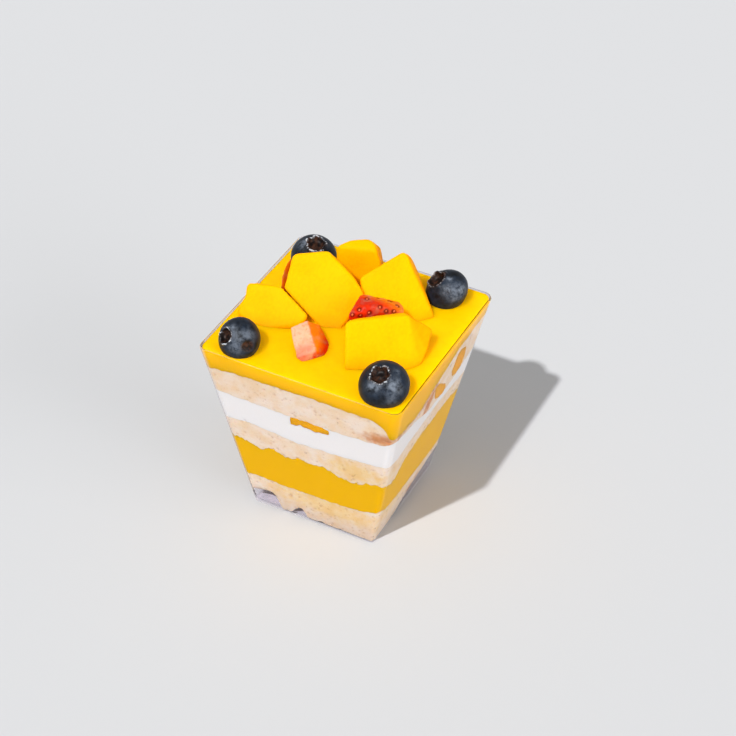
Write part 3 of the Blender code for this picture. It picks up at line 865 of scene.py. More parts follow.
@dataclass
class ClearCup:
    """The cup: a moulded shell with a rounded lip, a flat base and a standing rim."""

    shape: CupShape = SHAPE
    foot: float = 0.8            # rounding where the wall meets the base
    inside_round: float = 0.5    # rounding round the floor inside
    recess: float = 0.2          # hollow under the base
    recess_inset: float = 2.6
    recess_slope: float = 0.8
    recess_corner: float = 1.0
    foot_haze: float = 0.5
    foot_haze_top: float = 1.7
    # For the front, right, back and left, or for the corner at that side's far end:
    corner_painted_sheen: tuple[float, ...] = (0.0, 0.15, 0.3, 0.4)   # how milky the upright edge is: painted reflection lines
    corner_painted_line: tuple[float, ...] = (0.0, 0.0, 0.0, 0.55)   # and how dark: a painted dark line down it
    lip_painted_sheen: tuple[float, ...] = (0.2, 0.0, 0.05, 0.03)     # how milky the lip is: a painted highlight
    lip_painted_shade: tuple[float, ...] = (0.12, 1.0, 0.3, 0.3)      # and how dark: painted shade on the lip
    tip_painted_shade: tuple[float, ...] = (1.0, 0.45, 0.3, 0.9)      # the lip's painted shade at corners
    lip_from: float = 60.0       # above this a ring belongs to the lip
    lip_steps: int = 8
    round_steps: int = 4         # in each rounding at the foot
    outer_levels: tuple[float, ...] = (1.1, 1.4, 1.7, *range(4, 62, 4), 62.9, 63.3)
    under_lip: float = 63.2      # down to here the inner wall gets the lip's painted shade
    inner_levels: tuple[float, ...] = (62.8, *range(60, 4, -4), 2.4, 1.9)
    glint_at: float = 0.44       # where round a corner its painted dark upright line runs, in radians
    glint_width: float = 0.2
    corner_steps: int = 10
    # Where along a side its corners lie, close together near the cup's upright edges.
    straight: tuple[float, ...] = (0.0, 0.02, 0.05, 0.12, 0.3, 0.5, 0.7, 0.88, 0.95, 0.98)
    finish: ClearPlastic = field(default_factory=ClearPlastic)

    def haze_at(self, z: float) -> float:
        """How milky the wall is at a height: the moulded foot is thick and clouded."""
        return self.foot_haze * min(1.0, max(0.0, self.foot_haze_top - z))

    def wall_ring(self, z: float, inset: float, edge: float = 0.0) -> CupRing:
        """A ring of the plain wall, drawn in level by the inset."""
        return CupRing(self.shape.outer_half(z) - inset, z,
                       self.shape.corner(z) - inset, self.haze_at(z), edge)

    def profile(self) -> list[CupRing]:
        """Lay out the rings of the shell.

        Returns:
            The rings, from under the base, over the lip, to the floor inside.
        """
        shape = self.shape
        stand = shape.outer_half(0) - self.recess_inset
        rings = [CupRing(stand - self.recess_slope, self.recess, self.recess_corner,
                         self.foot_haze),
                 CupRing(stand, 0.0, self.recess_corner, self.foot_haze)]
        for step in range(self.round_steps + 1):
            angle = math.radians(90 * step / self.round_steps)
            z = self.foot * (1 - math.cos(angle))
            inset = self.foot * (1 - math.sin(angle))
            rings.append(CupRing(shape.outer_half(z) - inset, z,
                                 shape.corner(z) - inset * 0.6, self.haze_at(z)))
        rings += [self.wall_ring(z, 0.0) for z in self.outer_levels]
        lip = shape.wall / 2
        middle = shape.height - lip
        for step in range(self.lip_steps + 1):
            angle = math.radians(180 * step / self.lip_steps)
            inset = lip - lip * math.cos(angle)
            # The inner half of the lip gets painted shade, and milkiness that paints a
            # highlight on it.
            inner = 1.0 if 2 * step >= self.lip_steps else 0.0
            rings.append(CupRing(shape.outer_half(middle) - inset,
                                 middle + lip * math.sin(angle),
                                 shape.corner(middle) - inset, inner, inner))
        # Painted shade on the inner wall just under the lip.
        rings.append(self.wall_ring(self.under_lip, shape.wall, 1.0))
        rings += [self.wall_ring(z, shape.wall) for z in self.inner_levels]
        for step in range(self.round_steps + 1):
            angle = math.radians(90 * step / self.round_steps)
            z = shape.floor + self.inside_round * (1 - math.sin(angle))
            inset = self.inside_round * (1 - math.cos(angle))
            rings.append(CupRing(shape.inner_half(z) - inset, z,
                                 shape.corner(z) - shape.wall - inset * 0.5,
                                 self.haze_at(z)))
        return rings

    def points_of(self, ring: CupRing) -> tuple[list[Point], list[float], list[float]]:
        """Lay out one ring.

        Args:
            ring: the ring.

        Returns:
            Its corners in millimetres, how milky each is with painted highlights, and how much
            painted shade each has.
        """
        points, haze_and_sheen, edge = [], [], []
        centre = ring.half - ring.corner
        for side in range(4):
            turn = Matrix.Rotation(math.radians(90 * side), 2)
            # On the lip the milkiness is a painted highlight, strongest on the front.
            plain = ring.haze_and_sheen * (self.lip_painted_sheen[side] if ring.z > self.lip_from else 1.0)
            for share in self.straight:
                points.append((*(turn @ Vector((centre * (2 * share - 1), -ring.half))),
                               ring.z))
                haze_and_sheen.append(plain)
                edge.append(ring.edge * self.lip_painted_shade[side])
            for step in range(self.corner_steps):
                angle = math.radians(90 * step / self.corner_steps)
                spot = Vector((centre + ring.corner * math.sin(angle),
                               -centre - ring.corner * math.cos(angle)))
                points.append((*(turn @ spot), ring.z))
                haze_and_sheen.append(max(plain, self.corner_painted_sheen[side] * math.sin(2 * angle)))
                # A painted dark line down one corner, and the lip's painted shade at the
                # corners.
                glint = math.exp(-((angle - self.glint_at) / self.glint_width) ** 2)
                edge.append(max(ring.edge * self.tip_painted_shade[side],
                                self.corner_painted_line[side] * glint))
        return points, haze_and_sheen, edge

    def build(self) -> bpy.types.Object:
        """Build and dress the cup.

        Returns:
            The cup.
        """
        points, haze_and_sheen, edge, faces = [], [], [], []
        rings = self.profile()
        for ring in rings:
            places, milky_sheen, dark = self.points_of(ring)
            points += places
            haze_and_sheen += milky_sheen
            edge += dark
        count = len(points) // len(rings)
        for level in range(len(rings) - 1):
            faces += band(level * count, (level + 1) * count, count)
        faces.append(tuple(range(count)))
        faces.append(tuple(range((len(rings) - 1) * count, len(rings) * count)))
        mesh = mesh_of("clear_cup", np.array(points) * 0.001, faces, crease=60)
        paint(mesh, "haze_and_sheen", np.array(haze_and_sheen))
        paint(mesh, "edge", np.array(edge))
        return finish_piece(add_object("clear_cup", mesh), self.finish.material(),
                            "clear_plastic", "cup")


# -------------------------------------------------------------------------- layers

COLUMNS = 150                # columns of corners along each side of a layer
PERIMETER = 200.0            # rough way round the food, for sizing uneven edges


def columns() -> np.ndarray:
    """The places round the food of every column, one to each side."""
    return np.arange(4 * COLUMNS) / COLUMNS


@dataclass(frozen=True)
class Boundary:
    """The line where two layers meet at the wall, in millimetres.

    The knots are (along, height), along from -1 to 1 on the front and on the right.
    """

    front: Knots
    right: Knots
    hidden: float            # mean height at the back and the left
    ragged: float            # height of the crumbs along it
    lumps: float             # their width
    seed: float
    crisp: float = 0.75      # below 1, the crumbs stand out more squarely
    wander: float = 0.7      # how far it sways at the back and the left
    sway_rate: float = 3.1   # how often it does so
    hidden_knots: int = 7    # knots along each of those
    smoothing: int = 9       # columns that its bends are eased over

    def heights(self) -> np.ndarray:
        """Draw the line.

        Returns:
            Its height in every column.
        """
        knots = [((along + 1) / 2, z) for along, z in self.front]
        knots += [(1 + (along + 1) / 2, z) for along, z in self.right]
        for step in range(1, 2 * self.hidden_knots):
            place = 2 + step / self.hidden_knots
            sway = noise.noise(Vector((place * self.sway_rate, self.seed, 0.5)))
            knots.append((place, self.hidden + self.wander * 2 * sway))
        knots.sort()
        places = [place for place, _height in knots]
        heights = np.interp(columns(), places, [height for _place, height in knots],
                            period=4)
        window = np.hanning(self.smoothing)
        half = self.smoothing // 2
        around = np.concatenate([heights[-half:], heights, heights[:half]])
        heights = np.convolve(around, window / window.sum(), "valid")
        radius = PERIMETER / math.tau
        for at, place in enumerate(columns()):
            angle = place * math.tau / 4
            spot = Vector((radius * math.cos(angle), radius * math.sin(angle), 0))
            lump = rough(spot, self.lumps, self.seed)
            heights[at] += self.ragged * math.copysign(abs(lump) ** self.crisp, lump)
        return heights


@dataclass(frozen=True)
class Patch:
    """An oval place on a wall, in millimetres along it and up it."""

    side: Side
    along: float
    z: float
    width: float
    height: float
    tilt: float = 0.0        # height gained per millimetre along
    strength: float = 1.0
    core: float = 1.6        # above 1, so that its middle is solid
    fade: float = 1.4        # how fast it fades outwards from there
    pull: float = 0.5        # how much the wobble shifts its edge

    def cover(self, places: np.ndarray, wobble: np.ndarray) -> np.ndarray:
        """How strongly the patch covers each place.

        Args:
            places: the corners, in millimetres.
            wobble: how far each corner pulls the patch's edge about, -1 to 1.

        Returns:
            From 0 to the patch's strength for each corner.
        """
        turn = Matrix.Rotation(math.radians(-90 * self.side.value), 2)
        local = places[:, :2] @ np.array(turn).T
        along = local[:, 0] - self.along
        up = places[:, 2] - self.z - self.tilt * along
        near = np.sqrt((along / self.width) ** 2 + (up / self.height) ** 2)
        here = np.clip(self.core - self.fade * near + self.pull * wobble, 0, 1)
        return here * (local[:, 1] < 0) * self.strength


@dataclass
class Layer:
    """One layer of the cake between two lines, closed above and below."""

    name: str
    low: np.ndarray
    high: np.ndarray
    shape: CupShape = SHAPE
    row_height: float = 0.5
    cap_gap: float = 0.06        # how far a hidden face stands off the line
    cap_rings: tuple[tuple[float, float], ...] = ((0.94, 0.7), (0.8, 0.3), (0.45, 0.1))
    pores: int = 0
    pore_depth: float = 0.35
    pore_radius: tuple[float, float] = (0.3, 0.75)
    pore_fill: tuple[float, float] = (0.5, 1.0)
    crust: tuple[Patch, ...] = ()
    juice: tuple[Patch, ...] = ()
    ragged_size: float = 1.6     # the unevenness of a crust's or a stain's edge
    ragged_seed: float = 3.3
    low_shade_top: float = 10.0       # painted shade darkens the cake below this height
    seed: int = 1

    def wall_points(self) -> np.ndarray:
        """Lay out the side.

        Returns:
            Its corners in millimetres, as rows from low to high.
        """
        rows = max(4, round(float(np.mean(self.high - self.low)) / self.row_height))
        points = []
        for row in range(rows + 1):
            share = row / rows
            z = self.low + (self.high - self.low) * share
            xy = self.shape.around(columns(), self.shape.food_half(z),
                                   self.shape.food_corner(z))
            points.append(np.column_stack([xy, z]))
        return np.array(points)

    def cap(self, ring: np.ndarray, level: float, lift: float,
            start: int) -> tuple[np.ndarray, list[tuple[int, ...]]]:
        """A face inside the cake, from the wall's ring in to the middle.

        Args:
            ring: the ring's corners, in millimetres.
            level: the face's mean height.
            lift: how far it stands off the line, so that two layers don't coincide.
            start: the number that its first new corner gets.

        Returns:
            The new corners, and the faces but for the ones that meet the wall.
        """
        points = []
        for share, keep in self.cap_rings:
            inner = ring.copy()
            inner[:, :2] *= share
            inner[:, 2] = level + (ring[:, 2] - level) * keep + lift
            points.append(inner)
        points.append(np.array([[0.0, 0.0, level + lift]]))
        count = len(ring)
        faces = band(start, start + count, count)
        faces += band(start + count, start + 2 * count, count)
        last = start + 2 * count
        faces += [(last + at, last + (at + 1) % count, last + count) for at in range(count)]
        return np.concatenate(points), faces

    def level_top(self, ring: np.ndarray, start: int) -> tuple[np.ndarray, list]:
        """The open top, as an even grid that meets the wall's ring.

        Args:
            ring: the ring's corners, in millimetres.
            start: the number that its first new corner gets.

        Returns:
            The corners inside the ring, and all the faces of the top.
        """
        size = COLUMNS
        number = {}
        points = []
        for row in range(size + 1):
            for column in range(size + 1):
                u, v = 2 * column / size - 1, 2 * row / size - 1
                if row == 0:
                    number[row, column] = start - len(ring) + column
                elif column == size:
                    number[row, column] = start - len(ring) + size + row
                elif row == size:
                    number[row, column] = start - len(ring) + 3 * size - column
                elif column == 0:
                    number[row, column] = start - len(ring) + 4 * size - row
                else:
                    number[row, column] = start + len(points)
                    points.append((u, v))
        flat = np.array(points)
        u, v = flat[:, 0], flat[:, 1]
        reach = np.maximum(np.maximum(np.abs(u), np.abs(v)), 1e-9)
        front, right = -v >= reach - 1e-9, u >= reach - 1e-9
        back = v >= reach - 1e-9
        s = np.where(front, (u / reach + 1) / 2,
                     np.where(right, 1 + (v / reach + 1) / 2,
                              np.where(back, 2 + (1 - u / reach) / 2,
                                       3 + (1 - v / reach) / 2)))
        z = np.full(len(s), float(np.mean(ring[:, 2])))
        xy = self.shape.around(np.minimum(s, 4 - 1e-6), self.shape.food_half(z),
                               self.shape.food_corner(z))
        faces = [(number[row, column], number[row, column + 1],
                  number[row + 1, column + 1], number[row + 1, column])
                 for row in range(size) for column in range(size)]
        return np.column_stack([xy * reach[:, None], z]), faces

    def build_mesh(self, open_top: bool = False) -> bpy.types.Object:
        """Build the layer.

        Args:
            open_top: whether its top shows, and gets an even grid.

        Returns:
            The layer, undressed.
        """
        wall = self.wall_points()
        rows, count, _three = wall.shape
        points = [wall.reshape(-1, 3)]
        faces = []
        for row in range(rows - 1):
            faces += band(row * count, (row + 1) * count, count)
        total = rows * count
        top_ring = (rows - 1) * count
        if open_top:
            inner, more = self.level_top(wall[-1], total)
            points.append(inner)
            faces += more
            total += len(inner)
            caps = ((wall[0], 0, self.cap_gap),)
        else:
            caps = ((wall[-1], top_ring, -self.cap_gap), (wall[0], 0, self.cap_gap))
        for ring, first, lift in caps:
            inner, more = self.cap(ring, float(np.mean(ring[:, 2])), lift, total)
            faces += band(first, total, count)
            points.append(inner)
            faces += more
            total += len(inner)
        every = np.concatenate(points)
        mesh = mesh_of(self.name, every * 0.001, faces, crease=50)
        item = add_object(self.name, mesh)
        self.relief(item, rows * count)
        return item

    def relief(self, item: bpy.types.Object, wall_count: int) -> None:
        """Sink the pores into the side and mark their painted shade, the crust, the juice
        stains, the painted shade near the bottom and the sides' painted shade.

        Args:
            item: the layer.
            wall_count: how many of its corners lie on the side.
        """
        mesh = item.data
        places = places_of(mesh) * 1000
        pore = np.zeros(len(places))
        rng = np.random.default_rng(self.seed)
        wall = places[:wall_count]
        for _pore in range(self.pores):
            centre = wall[rng.integers(wall_count)]
            radius = rng.uniform(*self.pore_radius)
            near = np.linalg.norm(wall - centre, axis=1) / radius
            depth = np.clip(1 - near ** 2, 0, 1) * rng.uniform(*self.pore_fill)
            pore[:wall_count] = np.maximum(pore[:wall_count], depth)
        flat = places[:, :2] / np.maximum(
            np.linalg.norm(places[:, :2], axis=1, keepdims=True), 1e-6)
        places[:, :2] -= flat * (pore * self.pore_depth)[:, None]
        # The pore marks are also painted shade in the crumb's colour.
        marks = {"pore": pore, "crust": np.zeros(len(places)),
                 "juice": np.zeros(len(places))}
        if self.crust or self.juice:
            wobble = np.array([rough(Vector(place), self.ragged_size, self.ragged_seed)
                               for place in places])
            for mark, patches in (("crust", self.crust), ("juice", self.juice)):
                for patch in patches:
                    marks[mark] = np.maximum(marks[mark], patch.cover(places, wobble))
        # Painted shade, darker towards the bottom.
        marks["low_shade"] = np.clip((self.low_shade_top - places[:, 2]) / self.low_shade_top, 0, 1)
        # Painted shade: the purees' sides take their darker side colour.
        marks["deep"] = (np.arange(len(places)) < wall_count).astype(float)
        move_to(mesh, places * 0.001)
        for mark, values in marks.items():
            paint(mesh, mark, values)


@dataclass
class CakeLayers:
    """The six layers that fill the cup, which share the lines between them."""

    shape: CupShape = SHAPE
    fill_level: float = 63.45
    thinnest: float = 0.9
    wave_height: float = 0.12    # slow waves of the top puree
    wave_size: float = 9.0
    wall_rise: float = 0.25      # how far it creeps up the wall
    fruit_rise: float = 0.3      # and up the fruit
    creep: float = 0.7           # how far from them it starts to rise
    underside: Boundary = Boundary(
        front=((-0.97, 6.6), (-0.86, 7.5), (-0.64, 7.7), (-0.58, 5.6), (-0.55, 0.6),
               (-0.37, 1.1), (-0.3, 3.2), (-0.2, 4.6), (-0.14, 4.2), (-0.12, 1.1),
               (0.08, 1.1), (0.15, 1.8), (0.2, 1.1), (0.9, 1.0)),
        right=((-0.9, 0.6), (-0.5, 0.6), (-0.25, 1.8), (-0.08, 3.3), (0.1, 4.8),
               (0.26, 6.0), (0.49, 6.8), (0.65, 8.0), (0.88, 8.8), (0.97, 9.4)),
        hidden=0.6, ragged=0.1, lumps=1.6, seed=2.4, wander=0.05)
    lower_sponge: Boundary = Boundary(
        front=((-0.97, 12.6), (-0.8, 13.2), (-0.6, 13.0), (-0.4, 12.8), (0.0, 13.0),
               (0.4, 13.2), (0.7, 13.8), (0.88, 14.8), (0.97, 15.6)),
        right=((-0.97, 16.0), (-0.85, 14.0), (-0.7, 12.6), (-0.4, 11.8), (0.0, 11.8),
               (0.4, 11.6), (0.7, 11.4), (0.97, 12.0)),
        hidden=13.2, ragged=0.3, lumps=2.2, seed=5.1)
    lower_puree: Boundary = Boundary(
        front=((-0.97, 29.2), (-0.9, 29.0), (-0.78, 28.6), (-0.7, 28.0), (-0.62, 27.0),
               (-0.55, 27.8), (-0.5, 28.5), (-0.4, 28.2), (-0.3, 27.0), (-0.15, 28.0),
               (0.0, 28.5), (0.15, 28.9), (0.3, 28.8), (0.36, 28.2), (0.4, 27.2),
               (0.55, 26.6), (0.7, 27.2), (0.8, 28.7), (0.97, 29.2)),
        right=((-0.97, 28.8), (-0.88, 27.2), (-0.78, 25.8), (-0.68, 26.2), (-0.56, 28.8),
               (-0.44, 31.0), (-0.2, 32.4), (0.2, 33.0), (0.5, 33.2), (0.8, 32.2),
               (0.97, 31.0)),
        hidden=28.4, ragged=0.75, lumps=1.3, seed=7.7, wander=1.0)
    middle_sponge: Boundary = Boundary(
        front=((-0.95, 37.0), (-0.6, 37.7), (-0.4, 37.0), (-0.1, 36.0), (0.2, 36.5),
               (0.5, 37.0), (0.75, 37.8), (0.95, 38.6)),
        right=((-0.97, 38.4), (-0.7, 37.2), (-0.5, 38.6), (-0.1, 39.2), (0.2, 39.8),
               (0.5, 39.0), (0.8, 38.0)),
        hidden=37.2, ragged=0.3, lumps=2.6, seed=9.2)
    cream: Boundary = Boundary(
        front=((-0.97, 47.7), (-0.85, 47.5), (-0.7, 47.5), (-0.45, 47.4), (-0.35, 47.3),
               (0.0, 47.2), (0.35, 47.3), (0.55, 47.5), (0.7, 47.9), (0.85, 48.3),
               (0.95, 49.2)),
        right=((-0.95, 50.0), (-0.8, 48.8), (-0.6, 47.6), (-0.4, 46.6), (-0.26, 44.6),
               (-0.12, 42.8), (0.1, 42.6), (0.35, 42.6), (0.5, 43.0), (0.8, 45.4)),
        hidden=47.4, ragged=0.35, lumps=2.4, seed=11.8)
    upper_sponge: Boundary = Boundary(
        front=((-0.97, 56.6), (-0.84, 57.2), (-0.66, 58.0), (-0.3, 58.2), (0.1, 58.5),
               (0.5, 58.3), (0.74, 58.2), (0.84, 57.4), (0.9, 56.2), (0.94, 54.2),
               (0.97, 52.4)),
        right=((-0.985, 51.8), (-0.9, 51.4), (-0.7, 50.2), (-0.5, 49.4), (-0.36, 49.8),
               (-0.22, 51.8), (-0.1, 53.6), (0.0, 53.8), (0.11, 54.8), (0.22, 56.3),
               (0.35, 57.6), (0.6, 58.2), (0.85, 58.5)),
        hidden=58.5, ragged=0.4, lumps=2.3, seed=13.4)
    crust: tuple[Patch, ...] = (
        Patch(Side.FRONT, 25.8, 50.9, 6.4, 3.0, tilt=0.15, strength=0.9),
        Patch(Side.RIGHT, -4.2, 48.2, 3.8, 5.8, tilt=0.8, strength=1.0),
        Patch(Side.RIGHT, 2.2, 5.6, 2.2, 1.3, tilt=0.3, strength=0.75),
        Patch(Side.RIGHT, 6.6, 7.6, 1.4, 0.9, tilt=0.3, strength=0.8),
        Patch(Side.LEFT, 12.0, 50.2, 9.0, 1.4, strength=0.7),
        Patch(Side.BACK, -12.0, 49.8, 10.0, 1.2, strength=0.7),
    )
    juice: tuple[Patch, ...] = (
        Patch(Side.FRONT, 16.0, 32.0, 11.0, 5.5, strength=0.85),
        Patch(Side.FRONT, 6.0, 10.0, 22.0, 5.0, strength=0.8),
        Patch(Side.LEFT, -6.0, 11.0, 14.0, 4.0, strength=0.6),
        Patch(Side.BACK, 5.0, 31.0, 12.0, 4.5, strength=0.6),
    )

    def build(self, toppings: list[bpy.types.Object]) -> list[bpy.types.Object]:
        """Build and dress every layer.

        Args:
            toppings: what sits in the top puree, which rises round it.

        Returns:
            The layers, from the base up.
        """
        lines = [line.heights() for line in (
            self.underside, self.lower_sponge, self.lower_puree, self.middle_sponge,
            self.cream, self.upper_sponge)]
        for below, above in zip(lines, lines[1:]):
            np.maximum(above, below + self.thinnest, out=above)
        lines.append(np.full(4 * COLUMNS, self.fill_level))
        crumb = Crumb().material()
        lower_puree = Puree("mango_puree_layer_sieved", "f0b800", "e8aa00", "ecb300",
                            shine=0.0).material()
        top_puree = Puree("mango_puree_top_sieved", "ffc600", "fcbc00", "f4b600",
                          reach=8.0, roughness=0.35).material()
        white = Cream().material()
        # Its name, solid, slot and finish, and how many pores its side has.
        kinds = (
            ("sponge_layer_bottom", "sponge_bottom", "sponge", crumb, 220),
            ("puree_layer_lower", "puree_lower", "mango_puree", lower_puree, 0),
            ("sponge_layer_middle", "sponge_middle", "sponge", crumb, 200),
            ("cream_layer", "cream", "whipped_cream", white, 14),
            ("sponge_layer_top", "sponge_top", "sponge", crumb, 300),
            ("puree_layer_top", "puree_top", "mango_puree", top_puree, 0),
        )
        built = []
        for number, (name, node, slot, material, pores) in enumerate(kinds):
            layer = Layer(name, lines[number], lines[number + 1], pores=pores,
                          seed=number + 3)
            if slot == "sponge":
                layer.crust, layer.juice = self.crust, self.juice
            shows = node == "puree_top"
            item = layer.build_mesh(open_top=shows)
            if shows:
                self.settle_top(item, toppings)
            built.append(finish_piece(item, material, slot, node))
        return built

    def settle_top(self, item: bpy.types.Object,
                   toppings: list[bpy.types.Object]) -> None:
        """Let the top puree lie in slow waves, and rise where it wets fruit and wall.

        Args:
            item: the puree.
            toppings: the fruit that sits in it.
        """
        mesh = item.data
        places = places_of(mesh)
        trees = [tree_of(topping.data) for topping in toppings]
        level = mm(self.fill_level) - 1e-6
        for at, place in enumerate(places):
            if place[2] < level:
                continue
            spot = Vector(place)
            x, y = abs(place[0]) * 1000, abs(place[1]) * 1000
            from_wall = self.shape.food_half(self.fill_level) - max(x, y)
            rise = self.wave_height * rough(spot * 1000, self.wave_size, 4.2, 2)
            rise += self.wall_rise * math.exp(-from_wall / self.creep)
            nearest = min((tree.find_nearest(spot, mm(6)) for tree in trees),
                          key=lambda found: found[3] if found[0] else 1.0)
            if nearest[0]:
                away = nearest[3] * 1000
                rise += self.fruit_rise * math.exp(-(away / self.creep) ** 1.2)
            places[at][2] += mm(rise - self.wave_height)
        move_to(mesh, places)


# --------------------------------------------------------------------- cut fruit

@dataclass
class WallDice:
    """A small piece of mango pressed against the wall, which shows through it."""

    name: str
    node: str
    side: Side
    outline: Knots               # along the wall and up it
    depth: float = 6.0
    proud: float = 0.22          # how far it stands into the wall
    taper: float = 0.96          # its far side against its near one
    worn: float = 0.35           # rounding of its cut edges
    voxel: float = 0.35
    ragged: float = 0.16
    ragged_size: float = 1.3

    def build(self, material: bpy.types.Material) -> bpy.types.Object:
        """Build and dress the piece.

        Args:
            material: its finish.

        Returns:
            The piece.
        """
        near = [SHAPE.on_wall(self.side, along, z, -self.proud) for along, z in self.outline]
        far = [SHAPE.on_wall(self.side, along * self.taper, z, self.depth)
               for along, z in self.outline]
        count = len(near)
        faces = [tuple(range(count)), tuple(range(count, 2 * count))]
        faces += band(0, count, count)
        points = np.array([place[:] for place in near + far]) * 0.001
        item = add_object(self.name, mesh_of(self.name, points, faces))
        bevel = item.modifiers.new("worn", "BEVEL")
        bevel.width = mm(self.worn)
        bevel.segments = 2
        even_faces(item, self.voxel)
        bake(item)
        roughen(item.data, self.ragged, self.ragged_size, 6.1)
        paint(item.data, "shade_and_glow", np.zeros(len(item.data.vertices)))
        item.data.shade_smooth()
        return finish_piece(item, material, "mango", self.node)


def even_faces(item: bpy.types.Object, voxel: float) -> None:
    """Give a piece faces of one even size.

    Args:
        item: the piece, which gets a modifier for it.
        voxel: the size of the faces, in millimetres.
    """
    remesh = item.modifiers.new("even", "REMESH")
    remesh.mode = "VOXEL"
    remesh.voxel_size = mm(voxel)


def roughen(mesh: bpy.types.Mesh, height: float, size: float, seed: float) -> None:
    """Move a mesh's corners in and out a little.

    Args:
        mesh: the mesh.
        height: how far, in millimetres.
        size: the size of the bumps, in millimetres.
        seed: picks the pattern.
    """
    places = places_of(mesh)
    ways = normals_of(mesh)
    bumps = np.array([rough(Vector(place) * 1000, size, seed) for place in places])
    move_to(mesh, places + ways * (bumps * mm(height))[:, None])


def soft_copy(node: str, name: str, voxel: float, smoothing: int) -> bpy.types.Object:
    """An even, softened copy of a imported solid.

    Args:
        node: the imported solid.
        name: the copy's name.
        voxel: the size of its faces, in millimetres.
        smoothing: how many rounds of smoothing it gets.

    Returns:
        The copy, undressed.
    """
    bm = bmesh.new()
    bm.from_mesh(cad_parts[node].data)
    bmesh.ops.remove_doubles(bm, verts=bm.verts, dist=1e-6)
    mesh = bpy.data.meshes.new(name)
    bm.to_mesh(mesh)
    bm.free()
    item = add_object(name, mesh)
    even_faces(item, voxel)
    smooth = item.modifiers.new("softened", "SMOOTH")
    smooth.factor = 0.5
    smooth.iterations = smoothing
    bake(item)
    item.data.shade_smooth()
    return item


@dataclass(frozen=True)
class Nudge:
    """A pull on one corner of a cut piece, in millimetres."""

    piece: str
    place: Point
    move: Point
    reach: float


